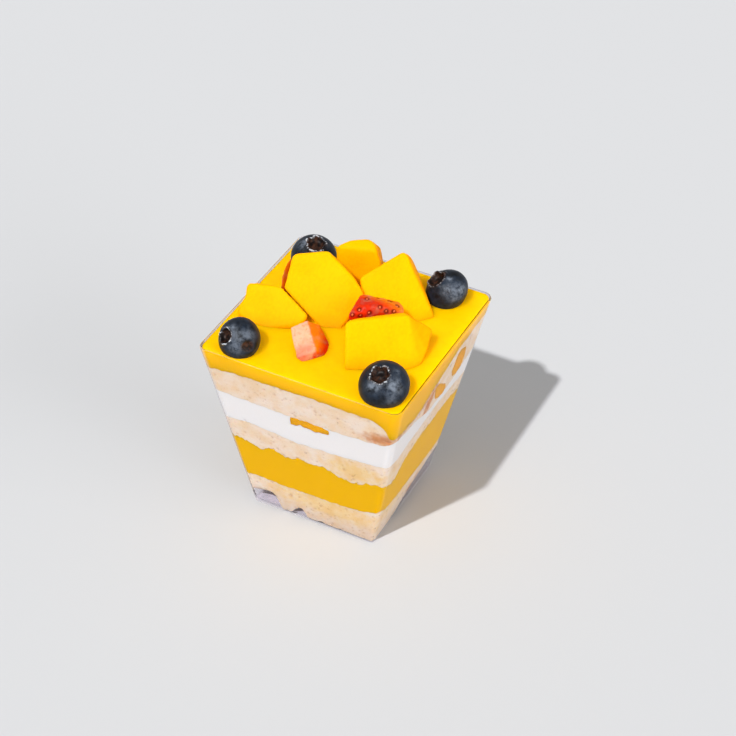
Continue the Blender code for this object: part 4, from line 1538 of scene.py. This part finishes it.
@dataclass
class MangoCuts:
    """The five big pieces of mango on top, and the small ones against the wall."""

    pieces: tuple[str, ...] = ("left", "middle", "right", "behind", "back")
    voxel: float = 0.4
    smoothing: int = 2
    unevenness: float = 0.10
    shaded_way: Point = (0.92, 0.39, 0.0)     # faces turned this way get painted shade
    shaded_depth: float = 0.65                # how much painted shade they get
    contact_shade_level: float = 66.4                 # below this the flesh gets painted shade where it meets the puree
    contact_shade_fade: float = 2.6
    contact_shade_depth: float = 0.5
    glow_reach: float = 1.4
    nudges: tuple[Nudge, ...] = (
        Nudge("left", (-27.6, -7.7, 71.1), (-1.0, 0.1, 0.6), 1.3),
        Nudge("left", (-28.3, -10.0, 68.8), (0.6, 0.3, 0.0), 1.6),
    )
    dice: tuple[WallDice, ...] = (
        WallDice("mango_dice_front", "mango_chip_front", Side.FRONT,
                 ((-3.9, 43.7), (-3.7, 47.1), (-1.6, 47.5), (-0.2, 47.3), (2.0, 47.7),
                  (4.8, 47.4), (7.0, 47.3), (9.1, 46.9), (9.0, 44.9), (7.6, 44.5),
                  (5.9, 44.7), (4.6, 44.1), (2.6, 44.5), (0.8, 44.3), (-0.6, 44.9),
                  (-2.0, 43.9))),
        WallDice("mango_dice_right", "mango_chip_right", Side.RIGHT,
                 ((-1.8, 51.6), (0.8, 51.6), (7.6, 46.4), (9.2, 43.6), (8.0, 42.1),
                  (3.9, 43.2), (0.9, 44.8), (-0.7, 47.6))),
        WallDice("mango_dice_far_right", "mango_chip_far_right", Side.RIGHT,
                 ((12.7, 45.1), (10.6, 48.4), (10.9, 50.4), (11.4, 52.9), (12.0, 55.1),
                  (14.5, 55.3), (18.6, 53.4), (19.9, 49.4), (19.6, 46.3), (18.5, 44.2),
                  (15.9, 43.9))),
        WallDice("mango_dice_back", "mango_chip_back", Side.BACK,
                 ((2.2, 44.1), (2.0, 48.0), (7.4, 48.3), (11.8, 47.6), (12.2, 44.4),
                  (7.0, 43.8))),
        WallDice("mango_dice_left", "mango_chip_left", Side.LEFT,
                 ((-0.4, 44.3), (-0.2, 48.2), (4.4, 48.6), (8.2, 48.0), (8.5, 44.6),
                  (4.0, 44.1))),
    )

    def build(self) -> list[bpy.types.Object]:
        """Build and dress the pieces on top.

        Returns:
            The pieces, for the puree to rise round.
        """
        flesh = MangoFlesh("mango_flesh_cut", "ffba00", "ffa800").material()
        juicy = tree_of(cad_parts["strawberry_middle"].data)
        built = []
        for number, piece in enumerate(self.pieces):
            item = soft_copy("mango_" + piece, "mango_cut_" + piece, self.voxel,
                             self.smoothing)
            places = places_of(item.data) * 1000
            for nudge in self.nudges:
                if nudge.piece == piece:
                    away = np.linalg.norm(places - nudge.place, axis=1) / nudge.reach
                    places += np.exp(-away ** 2)[:, None] * np.array(nudge.move)
            move_to(item.data, places * 0.001)
            roughen(item.data, self.unevenness, 5.0, 2.0 + number)
            paint(item.data, "shade_and_glow", self.painted_shade_and_glow(item.data, juicy))
            built.append(finish_piece(item, flesh, "mango", "mango_" + piece))
        return built

    def painted_shade_and_glow(self, mesh: bpy.types.Mesh, juicy: BVHTree) -> np.ndarray:
        """How much painted shade and painted glow each corner of a piece gets.

        Args:
            mesh: the piece.
            juicy: the strawberry, whose red glow is painted on what lies within reach.

        Returns:
            From 0 to 1 for each corner.
        """
        places = places_of(mesh)
        # Painted shade on faces turned one way, and where the piece meets the puree.
        shaded_side = normals_of(mesh) @ np.array(self.shaded_way)
        deep = self.shaded_depth * np.clip((shaded_side - 0.45) / 0.35, 0, 1)
        sunk = (self.contact_shade_level - places[:, 2] * 1000) / self.contact_shade_fade
        deep = np.maximum(deep, self.contact_shade_depth * np.clip(sunk, 0, 1))
        # Painted glow from the red strawberry close by.
        for at, place in enumerate(places):
            found = juicy.find_nearest(Vector(place), mm(4))
            if found[0]:
                strawberry_glow = math.exp(-(found[3] * 1000 / self.glow_reach) ** 2)
                deep[at] = max(deep[at], strawberry_glow)
        return deep

    def build_dice(self) -> list[bpy.types.Object]:
        """Build and dress the pieces that show through the wall."""
        flesh = MangoFlesh("mango_flesh_soaked", "f0a614", "e89618").material()
        return [dice.build(flesh) for dice in self.dice]


@dataclass
class StrawberrySeeds:
    """The seeds on a strawberry's skin, set by Geometry Nodes on points of the skin."""

    spots: tuple[Point, ...]
    length: float = 0.95
    width: float = 0.7
    thickness: float = 0.5
    sunk: float = 0.1

    def points_on(self, skin: bpy.types.Object) -> tuple[np.ndarray, np.ndarray]:
        """The points of the skin that lie nearest to the spots.

        Args:
            skin: the piece that carries the seeds.

        Returns:
            The places in metres, and the skin's directions there.
        """
        places, ways = [], []
        for spot in self.spots:
            hit, place, way, _face = skin.closest_point_on_mesh(Vector(spot) * 0.001)
            if hit:
                places.append(place[:])
                ways.append(way[:])
        return np.array(places), np.array(ways)

    def tree(self, material: bpy.types.Material) -> bpy.types.NodeTree:
        """The node tree that puts an oval seed on every point.

        Args:
            material: the seeds' finish.

        Returns:
            The tree, whose inputs are the seed's length, width and thickness.
        """
        tree = bpy.data.node_groups.new("seeds_on_skin", "GeometryNodeTree")
        sockets = tree.interface
        sockets.new_socket("Geometry", in_out="INPUT", socket_type="NodeSocketGeometry")
        for name, value in (("Length", self.length), ("Width", self.width),
                            ("Thickness", self.thickness)):
            made = sockets.new_socket(name, in_out="INPUT", socket_type="NodeSocketFloat")
            made.default_value = mm(value)
        sockets.new_socket("Geometry", in_out="OUTPUT", socket_type="NodeSocketGeometry")
        given = add_node(tree, "NodeGroupInput")
        size = add_node(tree, "ShaderNodeCombineXYZ", {
            "X": given.outputs["Width"], "Y": given.outputs["Length"],
            "Z": given.outputs["Thickness"]})
        ball = add_node(tree, "GeometryNodeMeshUVSphere", {
            "Segments": 12, "Rings": 8, "Radius": 0.5})
        oval = add_node(tree, "GeometryNodeTransform", {
            "Geometry": ball.outputs[0], "Scale": size.outputs[0]})
        way = add_node(tree, "GeometryNodeInputNamedAttribute", {"Name": "way"},
                       data_type="FLOAT_VECTOR")
        turned = add_node(tree, "FunctionNodeAlignRotationToVector", {
            "Vector": way.outputs[0]}, axis="Z")
        spin = add_node(tree, "FunctionNodeRandomValue", {
            "Min": -0.5, "Max": 0.5, "Seed": 4}, data_type="FLOAT")
        twist = add_node(tree, "ShaderNodeCombineXYZ", {"Z": spin.outputs[1]})
        posed = add_node(tree, "FunctionNodeRotateRotation", {
            "Rotation": turned.outputs[0], "Rotate By": twist.outputs[0]},
            rotation_space="LOCAL")
        spread = add_node(tree, "GeometryNodeInstanceOnPoints", {
            "Points": given.outputs[0], "Instance": oval.outputs[0],
            "Rotation": posed.outputs[0]})
        real = add_node(tree, "GeometryNodeRealizeInstances", {
            "Geometry": spread.outputs[0]})
        dressed = add_node(tree, "GeometryNodeSetMaterial", {
            "Geometry": real.outputs[0], "Material": material})
        smooth = add_node(tree, "GeometryNodeSetShadeSmooth", {
            "Geometry": dressed.outputs[0]})
        add_node(tree, "NodeGroupOutput", {"Geometry": smooth.outputs[0]})
        return tree

    def build(self, skin: bpy.types.Object) -> bpy.types.Object:
        """Build and dress the seeds of one piece.

        Args:
            skin: the piece that carries them.

        Returns:
            The seeds.
        """
        places, ways = self.points_on(skin)
        husk = SeedHusk().material()
        mesh = bpy.data.meshes.new("strawberry_seeds")
        mesh.from_pydata((places - ways * mm(self.sunk)).tolist(), [], [])
        layer = mesh.attributes.new("way", "FLOAT_VECTOR", "POINT")
        layer.data.foreach_set("vector", ways.astype(np.float32).ravel())
        item = add_object("strawberry_seeds", mesh)
        nodes = item.modifiers.new("seeds", "NODES")
        nodes.node_group = self.tree(husk)
        bake(item)
        return finish_piece(item, husk, "strawberry")


@dataclass
class StrawberryCuts:
    """The three pieces of strawberry: one shows its skin, one its cut heart."""

    voxel: float = 0.3
    smoothing: int = 3
    dimple_radius: float = 0.75
    dimple_depth: float = 0.4
    unevenness: float = 0.12
    left_squash: float = 1.2     # how much thinner the left piece is pressed
    left_way: Point = (0.90, 0.43, 0.0)      # across the left piece
    seeds: StrawberrySeeds = field(default_factory=lambda: StrawberrySeeds(
        spots=((6.7, -5.7, 71.9), (8.9, -4.1, 72.7), (10.9, -1.4, 74.2), (5.8, 0.2, 74.1),
               (4.8, -7.0, 72.5), (14.5, 2.8, 73.0), (14.6, 0.0, 72.6), (5.9, -5.0, 73.7),
               (12.8, -1.2, 72.8), (8.0, 3.6, 74.0), (11.6, 3.8, 73.4))))

    def build(self) -> list[bpy.types.Object]:
        """Build and dress the pieces."""
        red = StrawberryFlesh().material()
        return [self.build_middle(red), self.build_front(red), self.build_left(red)]

    def cut(self, which: str) -> bpy.types.Object:
        """A softened copy of one piece's solid, undressed."""
        return soft_copy("strawberry_" + which, "strawberry_cut_" + which, self.voxel,
                         self.smoothing)

    def build_middle(self, red: bpy.types.Material) -> bpy.types.Object:
        """Build the piece with its skin up, dimpled round every seed.

        Args:
            red: the finish of all three.

        Returns:
            The piece.
        """
        item = self.cut("middle")
        places, ways = self.seeds.points_on(item)
        corners = places_of(item.data)
        pit_shade = np.zeros(len(corners))
        for place, way in zip(places, ways):
            away = np.linalg.norm(corners - place, axis=1) * 1000 / self.dimple_radius
            sink = mm(self.dimple_depth) * np.exp(-away ** 2)
            corners -= way * sink[:, None]
            # Painted shade in the dimple round each seed.
            pit_shade = np.maximum(pit_shade, 0.95 * np.exp(-(away / 1.05) ** 4))
        move_to(item.data, corners)
        roughen(item.data, self.unevenness, 2.5, 8.0)
        paint(item.data, "flesh", np.zeros(len(corners)))
        # The skin turns orange where it is less ripe, to the right and the back.
        rightward = np.clip((corners[:, 0] * 1000 - 9) / 8, 0, 1)
        backward = np.clip((corners[:, 1] * 1000 + 0.5) / 2.5, 0, 1)
        paint(item.data, "orange", np.clip(rightward * 0.25 + backward * 0.6, 0, 0.75))
        paint(item.data, "pit_shade", pit_shade)
        finish_piece(item, red, "strawberry", "strawberry_middle")
        self.seeds.build(item)
        return item

    def build_front(self, red: bpy.types.Material) -> bpy.types.Object:
        """Build the wedge with its pale heart on top and red flesh to the right.

        Args:
            red: the finish of all three.

        Returns:
            The piece.
        """
        item = self.cut("front")
        roughen(item.data, self.unevenness, 1.8, 5.0)
        corners = places_of(item.data) * 1000
        ways = normals_of(item.data)
        # The heart is palest at the near end and reddens along the cut.
        along = (corners @ np.array([0.55, -0.80, 0.0]) - 8.0) / 12.0
        rightward = ways @ np.array([1.0, 0.9, 0.0])
        facing_right = np.clip((rightward - 0.12) / 0.25, 0, 1)
        pale = (1 - facing_right) * (1.35 - 1.2 * np.clip(along, 0, 1.2))
        paint(item.data, "flesh", np.clip(pale, 0, 1))
        height = np.clip((corners[:, 2] - 64.6) / 2.2, 0, 1)
        paint(item.data, "orange", facing_right * height * 0.95)
        paint(item.data, "pit_shade", np.zeros(len(corners)))
        return finish_piece(item, red, "strawberry", "strawberry_front")

    def build_left(self, red: bpy.types.Material) -> bpy.types.Object:
        """Build the piece that stands half hidden behind the mango.

        Args:
            red: the finish of all three.

        Returns:
            The piece.
        """
        item = self.cut("left")
        places = places_of(item.data) * 1000
        across = places @ np.array(self.left_way)
        thin = (across.max() - across) / (across.max() - across.min())
        slant = np.array(self.left_way) * self.left_squash
        places += slant * thin[:, None]
        move_to(item.data, places * 0.001)
        roughen(item.data, self.unevenness, 2.2, 6.0)
        # Its lower half lies in the shade of the mango: painted shade darkens it.
        height = np.clip((places[:, 2] - np.median(places[:, 2])) / 3.0, 0, 1)
        paint(item.data, "flesh", np.zeros(len(places)))
        paint(item.data, "orange", np.clip(0.7 * height, 0, 0.8))
        paint(item.data, "pit_shade", np.clip(0.75 - 0.6 * height, 0, 1))
        return finish_piece(item, red, "strawberry", "strawberry_left")


# --------------------------------------------------------------------- blueberries

@dataclass(frozen=True)
class BloomHighlightPatch:
    """A patch of thick wax and painted highlight, by the direction from the berry's middle."""

    way: Point
    spread: float
    strength: float


@dataclass(frozen=True)
class Blueberry:
    """One blueberry, in millimetres: where it sits and which way its crown looks."""

    name: str
    middle: Point
    radius: float
    half_height: float
    crown_way: Point
    bloom_and_highlight: tuple[BloomHighlightPatch, ...]
    crown_share: float = 0.42
    turn: float = 0.0
    seed: float = 1.0
    scar: Point | None = None        # direction of a dark dent in its side
    frill: float = 1.0               # how white the torn edge of its crown is


@dataclass
class Blueberries:
    """The four blueberries at the corners of the cup."""

    around: int = 140
    down: int = 90
    lobes: int = 5
    lobe_lift: float = 0.15      # how much the lobes raise the crown's rim
    lobe_flare: float = 0.06     # and spread it, as a share of its radius
    tear_size: float = 0.9       # the notches of the torn rim
    tear_lift: float = 0.3
    tear_flare: float = 0.08
    rim_at: float = 1.03         # where the rim is highest, as a share of the crown
    rim_width: float = 0.22
    edge_at: float = 1.02        # where its pale edge runs
    edge_width: float = 0.055
    edge_wander: float = 0.16
    wander_size: float = 1.3
    tatter_size: float = 0.45    # the gaps in that edge
    thin_wax: float = 0.04       # what is left between the patches
    unevenness: float = 0.05
    bowl: float = 1.3
    scar_size: float = 0.045
    scar_depth: float = 0.9
    bowl_rows: tuple[tuple[float, float], ...] = (   # share of the crown, rise in the bowl
        (0.0, 0.25), (0.12, 0.2), (0.3, 0.0), (0.5, 0.05), (0.66, 0.25), (0.78, 0.6))
    rim_rows: tuple[Row, ...] = (                    # share of the crown, rise over the top
        (0.86, -0.35, 1.0), (0.90, -0.2, 1.0), (0.93, -0.1, 1.0), (0.955, -0.03, 1.0),
        (0.98, 0.02, 1.0), (1.005, 0.04, 1.0), (1.03, 0.05, 0.9), (1.055, 0.02, 0.7),
        (1.08, -0.02, 0.5), (1.11, -0.07, 0.35), (1.14, -0.12, 0.2), (1.22, -0.28, 0.0))
    berries: tuple[Blueberry, ...] = (
        Blueberry("left", (-22.0, -25.5, 66.4), 6.35, 5.7, (-0.37, -0.74, 0.56),
                  (BloomHighlightPatch((-0.21, -0.55, 0.81), 0.04, 1.8),
                   BloomHighlightPatch((0.66, -0.34, 0.67), 0.06, 0.6),
                   BloomHighlightPatch((0.27, -0.93, 0.23), 0.07, 0.7),
                   BloomHighlightPatch((0.34, -0.66, 0.66), 0.05, 0.4)),
                  0.36, 0.3, 1.3, (0.78, -0.58, 0.24)),
        Blueberry("front", (23.8, -24.4, 66.6), 7.3, 6.1, (-0.04, -0.43, 0.90),
                  (BloomHighlightPatch((-0.20, -0.82, 0.54), 0.035, 1.1),
                   BloomHighlightPatch((0.05, -0.84, 0.54), 0.02, 0.9),
                   BloomHighlightPatch((0.67, -0.48, 0.56), 0.05, 1.2),
                   BloomHighlightPatch((0.50, 0.13, 0.86), 0.01, 0.6),
                   BloomHighlightPatch((0.68, -0.73, 0.00), 0.03, 0.4)), 0.38, 1.1, 2.6),
        Blueberry("right", (20.1, 24.9, 66.0), 6.7, 5.4, (-0.50, -0.32, 0.80),
                  (BloomHighlightPatch((0.80, -0.33, 0.50), 0.06, 1.1),
                   BloomHighlightPatch((0.35, -0.72, 0.60), 0.04, 0.9),
                   BloomHighlightPatch((0.21, -0.24, 0.95), 0.008, 1.3),
                   BloomHighlightPatch((0.64, -0.74, 0.18), 0.02, 0.4)), 0.42, 0.7, 3.9, frill=0.45),
        Blueberry("back", (-21.9, 19.9, 66.8), 6.95, 6.2, (0.20, -0.18, 0.96),
                  (BloomHighlightPatch((0.62, 0.23, 0.75), 0.02, 0.25),
                   BloomHighlightPatch((-0.36, -0.38, 0.85), 0.03, 1.2),
                   BloomHighlightPatch((0.11, 0.26, 0.96), 0.012, 0.9)), 0.40, 0.2, 5.2),
    )

    def profile(self, berry: Blueberry) -> list[Row]:
        """Half the outline of a berry that stands with its crown up.

        Args:
            berry: the berry.

        Returns:
            Its rows in millimetres, from the top down.
        """
        crown = berry.crown_share * berry.radius
        top = berry.half_height
        rows = [(share * crown, top - self.bowl + rise, 1.0)
                for share, rise in self.bowl_rows]
        rows += [(share * crown, top + rise, of_crown)
                 for share, rise, of_crown in self.rim_rows]
        first = math.degrees(math.acos(min(1.3 * crown / berry.radius, 0.99)))
        for step in range(self.down):
            angle = math.radians(first - (first + 89) * step / (self.down - 1))
            rows.append((berry.radius * math.cos(angle),
                         berry.half_height * math.sin(angle), 0.0))
        return rows

    def corners_of(self, berry: Blueberry, rows: list[Row],
                   inward: Matrix) -> tuple[list[Point], dict[str, list[float]]]:
        """Lay out the corners of a berry that stands with its crown up.

        Args:
            berry: the berry.
            rows: half its outline, but for the point on top.
            inward: turns the cake's directions into the berry's own.

        Returns:
            The corners in millimetres, and for each what the finish reads, by name.
        """
        crown = berry.crown_share * berry.radius
        patches = [(inward @ Vector(patch.way).normalized(), patch)
                   for patch in berry.bloom_and_highlight]
        scar = inward @ Vector(berry.scar).normalized() if berry.scar else Vector()
        points, calyx, frill, bloom_and_highlight = [], [], [], []
        for radius, z, share in rows:
            from_rim = (radius - self.rim_at * crown) / (self.rim_width * crown)
            near_rim = math.exp(-from_rim ** 2) if share > 0 else 0.0
            for step in range(self.around):
                angle = math.tau * step / self.around
                lobe = math.cos(self.lobes * (angle + berry.turn))
                spot = Vector((math.cos(angle) * 3, math.sin(angle) * 3, z))
                jag = rough(spot, self.tear_size, berry.seed, 3)
                height = z + near_rim * (self.lobe_lift * lobe + self.tear_lift * jag)
                r = radius * (1 + near_rim * (self.lobe_flare * lobe + self.tear_flare * jag))
                way = Vector((math.cos(angle) * radius, math.sin(angle) * radius,
                              z)).normalized()
                dent = math.exp(-((1 - way.dot(scar)) / self.scar_size) ** 2)
                sink = 1 - dent * self.scar_depth / berry.radius
                points.append((r * math.cos(angle) * sink, r * math.sin(angle) * sink,
                               height * sink))
                calyx.append(max(share, min(1.0, 1.4 * dent)))
                wander = rough(spot, self.wander_size, berry.seed + 9, 2)
                tatter = rough(spot, self.tatter_size, berry.seed + 5, 2)
                from_edge = radius / crown - self.edge_at - self.edge_wander * wander
                edge = math.exp(-(from_edge / self.edge_width) ** 2)
                # The edge is palest on the rim's teeth and missing in its gaps.
                torn = berry.frill * (0.45 + 1.2 * jag + 1.9 * tatter)
                frill.append(min(1.0, max(0.0, edge * torn)) if share > 0.1 else 0.0)
                # Painted highlight on real wax: the patches lie where the berry catches the
                # light.
                wax_and_highlight = self.thin_wax + sum(
                    patch.strength * math.exp((way.dot(local) - 1) / patch.spread)
                    for local, patch in patches)
                bloom_and_highlight.append(min(wax_and_highlight, 1.0))
        return points, {"calyx": calyx, "frill": frill, "bloom_and_highlight": bloom_and_highlight}

    def build_one(self, berry: Blueberry, skin: bpy.types.Material) -> bpy.types.Object:
        """Build and dress one berry.

        Args:
            berry: the berry.
            skin: its finish.

        Returns:
            The finished piece.
        """
        rows = self.profile(berry)
        turned = Vector(berry.crown_way).to_track_quat("Z", "Y").to_matrix()
        points, marks = self.corners_of(berry, rows[1:], turned.transposed())
        count = self.around
        last = (len(rows) - 2) * count
        faces = []
        for start in range(0, last, count):
            faces += band(start, start + count, count)
        top_point, low_point = len(points), len(points) + 1
        points += [(0, 0, rows[0][1]), (0, 0, -berry.half_height)]
        for mark, ends in (("calyx", (1.0, 0.0)), ("frill", (0.0, 0.0)),
                           ("bloom_and_highlight", (0.0, 0.3))):
            marks[mark] += ends
        faces += [(top_point, (at + 1) % count, at) for at in range(count)]
        faces += [(low_point, last + at, last + (at + 1) % count) for at in range(count)]
        places = np.array(points) @ np.array(turned).T + np.array(berry.middle)
        name = "blueberry_whole_" + berry.name
        item = add_object(name, mesh_of(name, places * 0.001, faces))
        for mark, values in marks.items():
            paint(item.data, mark, np.array(values))
        roughen(item.data, self.unevenness, 2.4, berry.seed)
        return finish_piece(item, skin, "blueberry", "blueberry_" + berry.name)

    def build(self) -> list[bpy.types.Object]:
        """Build and dress every berry."""
        skin = BerrySkin().material()
        return [self.build_one(berry, skin) for berry in self.berries]


# -------------------------------------------------------------------------- studio

@dataclass(frozen=True)
class Lamp:
    """A far lamp: how strong it is, where it stands, and how wide it looks in degrees."""

    name: str
    strength: float
    way: Point
    spread: float


@dataclass
class Studio:
    """The pale floor, the light and the camera; its lengths are metres, angles degrees."""

    floor_size: float = 6.0
    sky: float = 0.42
    lamps: tuple[Lamp, ...] = (
        Lamp("sun", 2.9, (-0.125, -0.78, 1.0), 1.6),
        Lamp("fill", 2.1, (0.97, -0.15, 0.18), 50.0),
    )
    azimuth: float = 25.486
    elevation: float = 38.954
    roll: float = 2.064
    away: float = 0.6389
    aside: float = 0.0067
    above: float = 0.0106
    looks_at: float = 0.0325
    lens: float = 103.56         # in millimetres, on the sensor's width
    sensor: float = 36.0

    def build_floor(self) -> None:
        """Lay the backdrop paper."""
        half = self.floor_size / 2
        corners = [(-half, -half, 0), (half, -half, 0), (half, half, 0), (-half, half, 0)]
        mesh = bpy.data.meshes.new("backdrop")
        mesh.from_pydata(corners, [], [(0, 1, 2, 3)])
        floor = add_object("backdrop", mesh)
        floor.data.materials.append(Backdrop().material())

    def build_light(self) -> None:
        """Light the stage with an even sky, a sun and a broad, low fill."""
        world = bpy.data.worlds.new("even_sky")
        bpy.context.scene.world = world
        world.use_nodes = True
        sky = world.node_tree.nodes["Background"]
        sky.inputs["Color"].default_value = (1.0, 1.0, 1.0, 1.0)
        sky.inputs["Strength"].default_value = self.sky
        for lamp in self.lamps:
            light = bpy.data.lights.new(lamp.name, "SUN")
            light.energy = lamp.strength
            light.angle = math.radians(lamp.spread)
            item = bpy.data.objects.new(lamp.name, light)
            item.rotation_mode = "QUATERNION"
            item.rotation_quaternion = Vector(lamp.way).to_track_quat("Z", "Y")
            bpy.context.scene.collection.objects.link(item)

    def build_camera(self) -> None:
        """Stand the camera above the front right corner."""
        turn, lift = math.radians(self.azimuth), math.radians(self.elevation)
        roll = math.radians(self.roll)
        back = Vector((math.sin(turn) * math.cos(lift), -math.cos(turn) * math.cos(lift),
                       math.sin(lift)))
        level = Vector((math.cos(turn), math.sin(turn), 0))
        upward = back.cross(level)
        right = level * math.cos(roll) + upward * math.sin(roll)
        top = -level * math.sin(roll) + upward * math.cos(roll)
        place = (back * self.away + right * self.aside + top * self.above
                 + Vector((0, 0, self.looks_at)))
        data = bpy.data.cameras.new("camera")
        data.sensor_width = self.sensor
        data.lens = self.lens
        data.clip_start = 0.01
        camera = bpy.data.objects.new("camera", data)
        matrix = Matrix((right, top, back)).transposed().to_4x4()
        matrix.translation = place
        camera.matrix_world = matrix
        bpy.context.scene.collection.objects.link(camera)
        bpy.context.scene.camera = camera

    def build(self) -> None:
        """Set up the whole stage, whose plain colours are shown as they are."""
        self.build_floor()
        self.build_light()
        self.build_camera()
        bpy.context.scene.view_settings.view_transform = "Standard"


def main() -> None:
    """Build every piece of the cake, its cup and the stage."""
    logging.basicConfig(level=logging.INFO, format="%(name)s: %(message)s")
    Studio().build()
    mango = MangoCuts()
    toppings = mango.build()
    toppings += StrawberryCuts().build()
    toppings += Blueberries().build()
    mango.build_dice()
    CakeLayers().build(toppings)
    ClearCup().build()


if __name__ == "__main__":
    main()
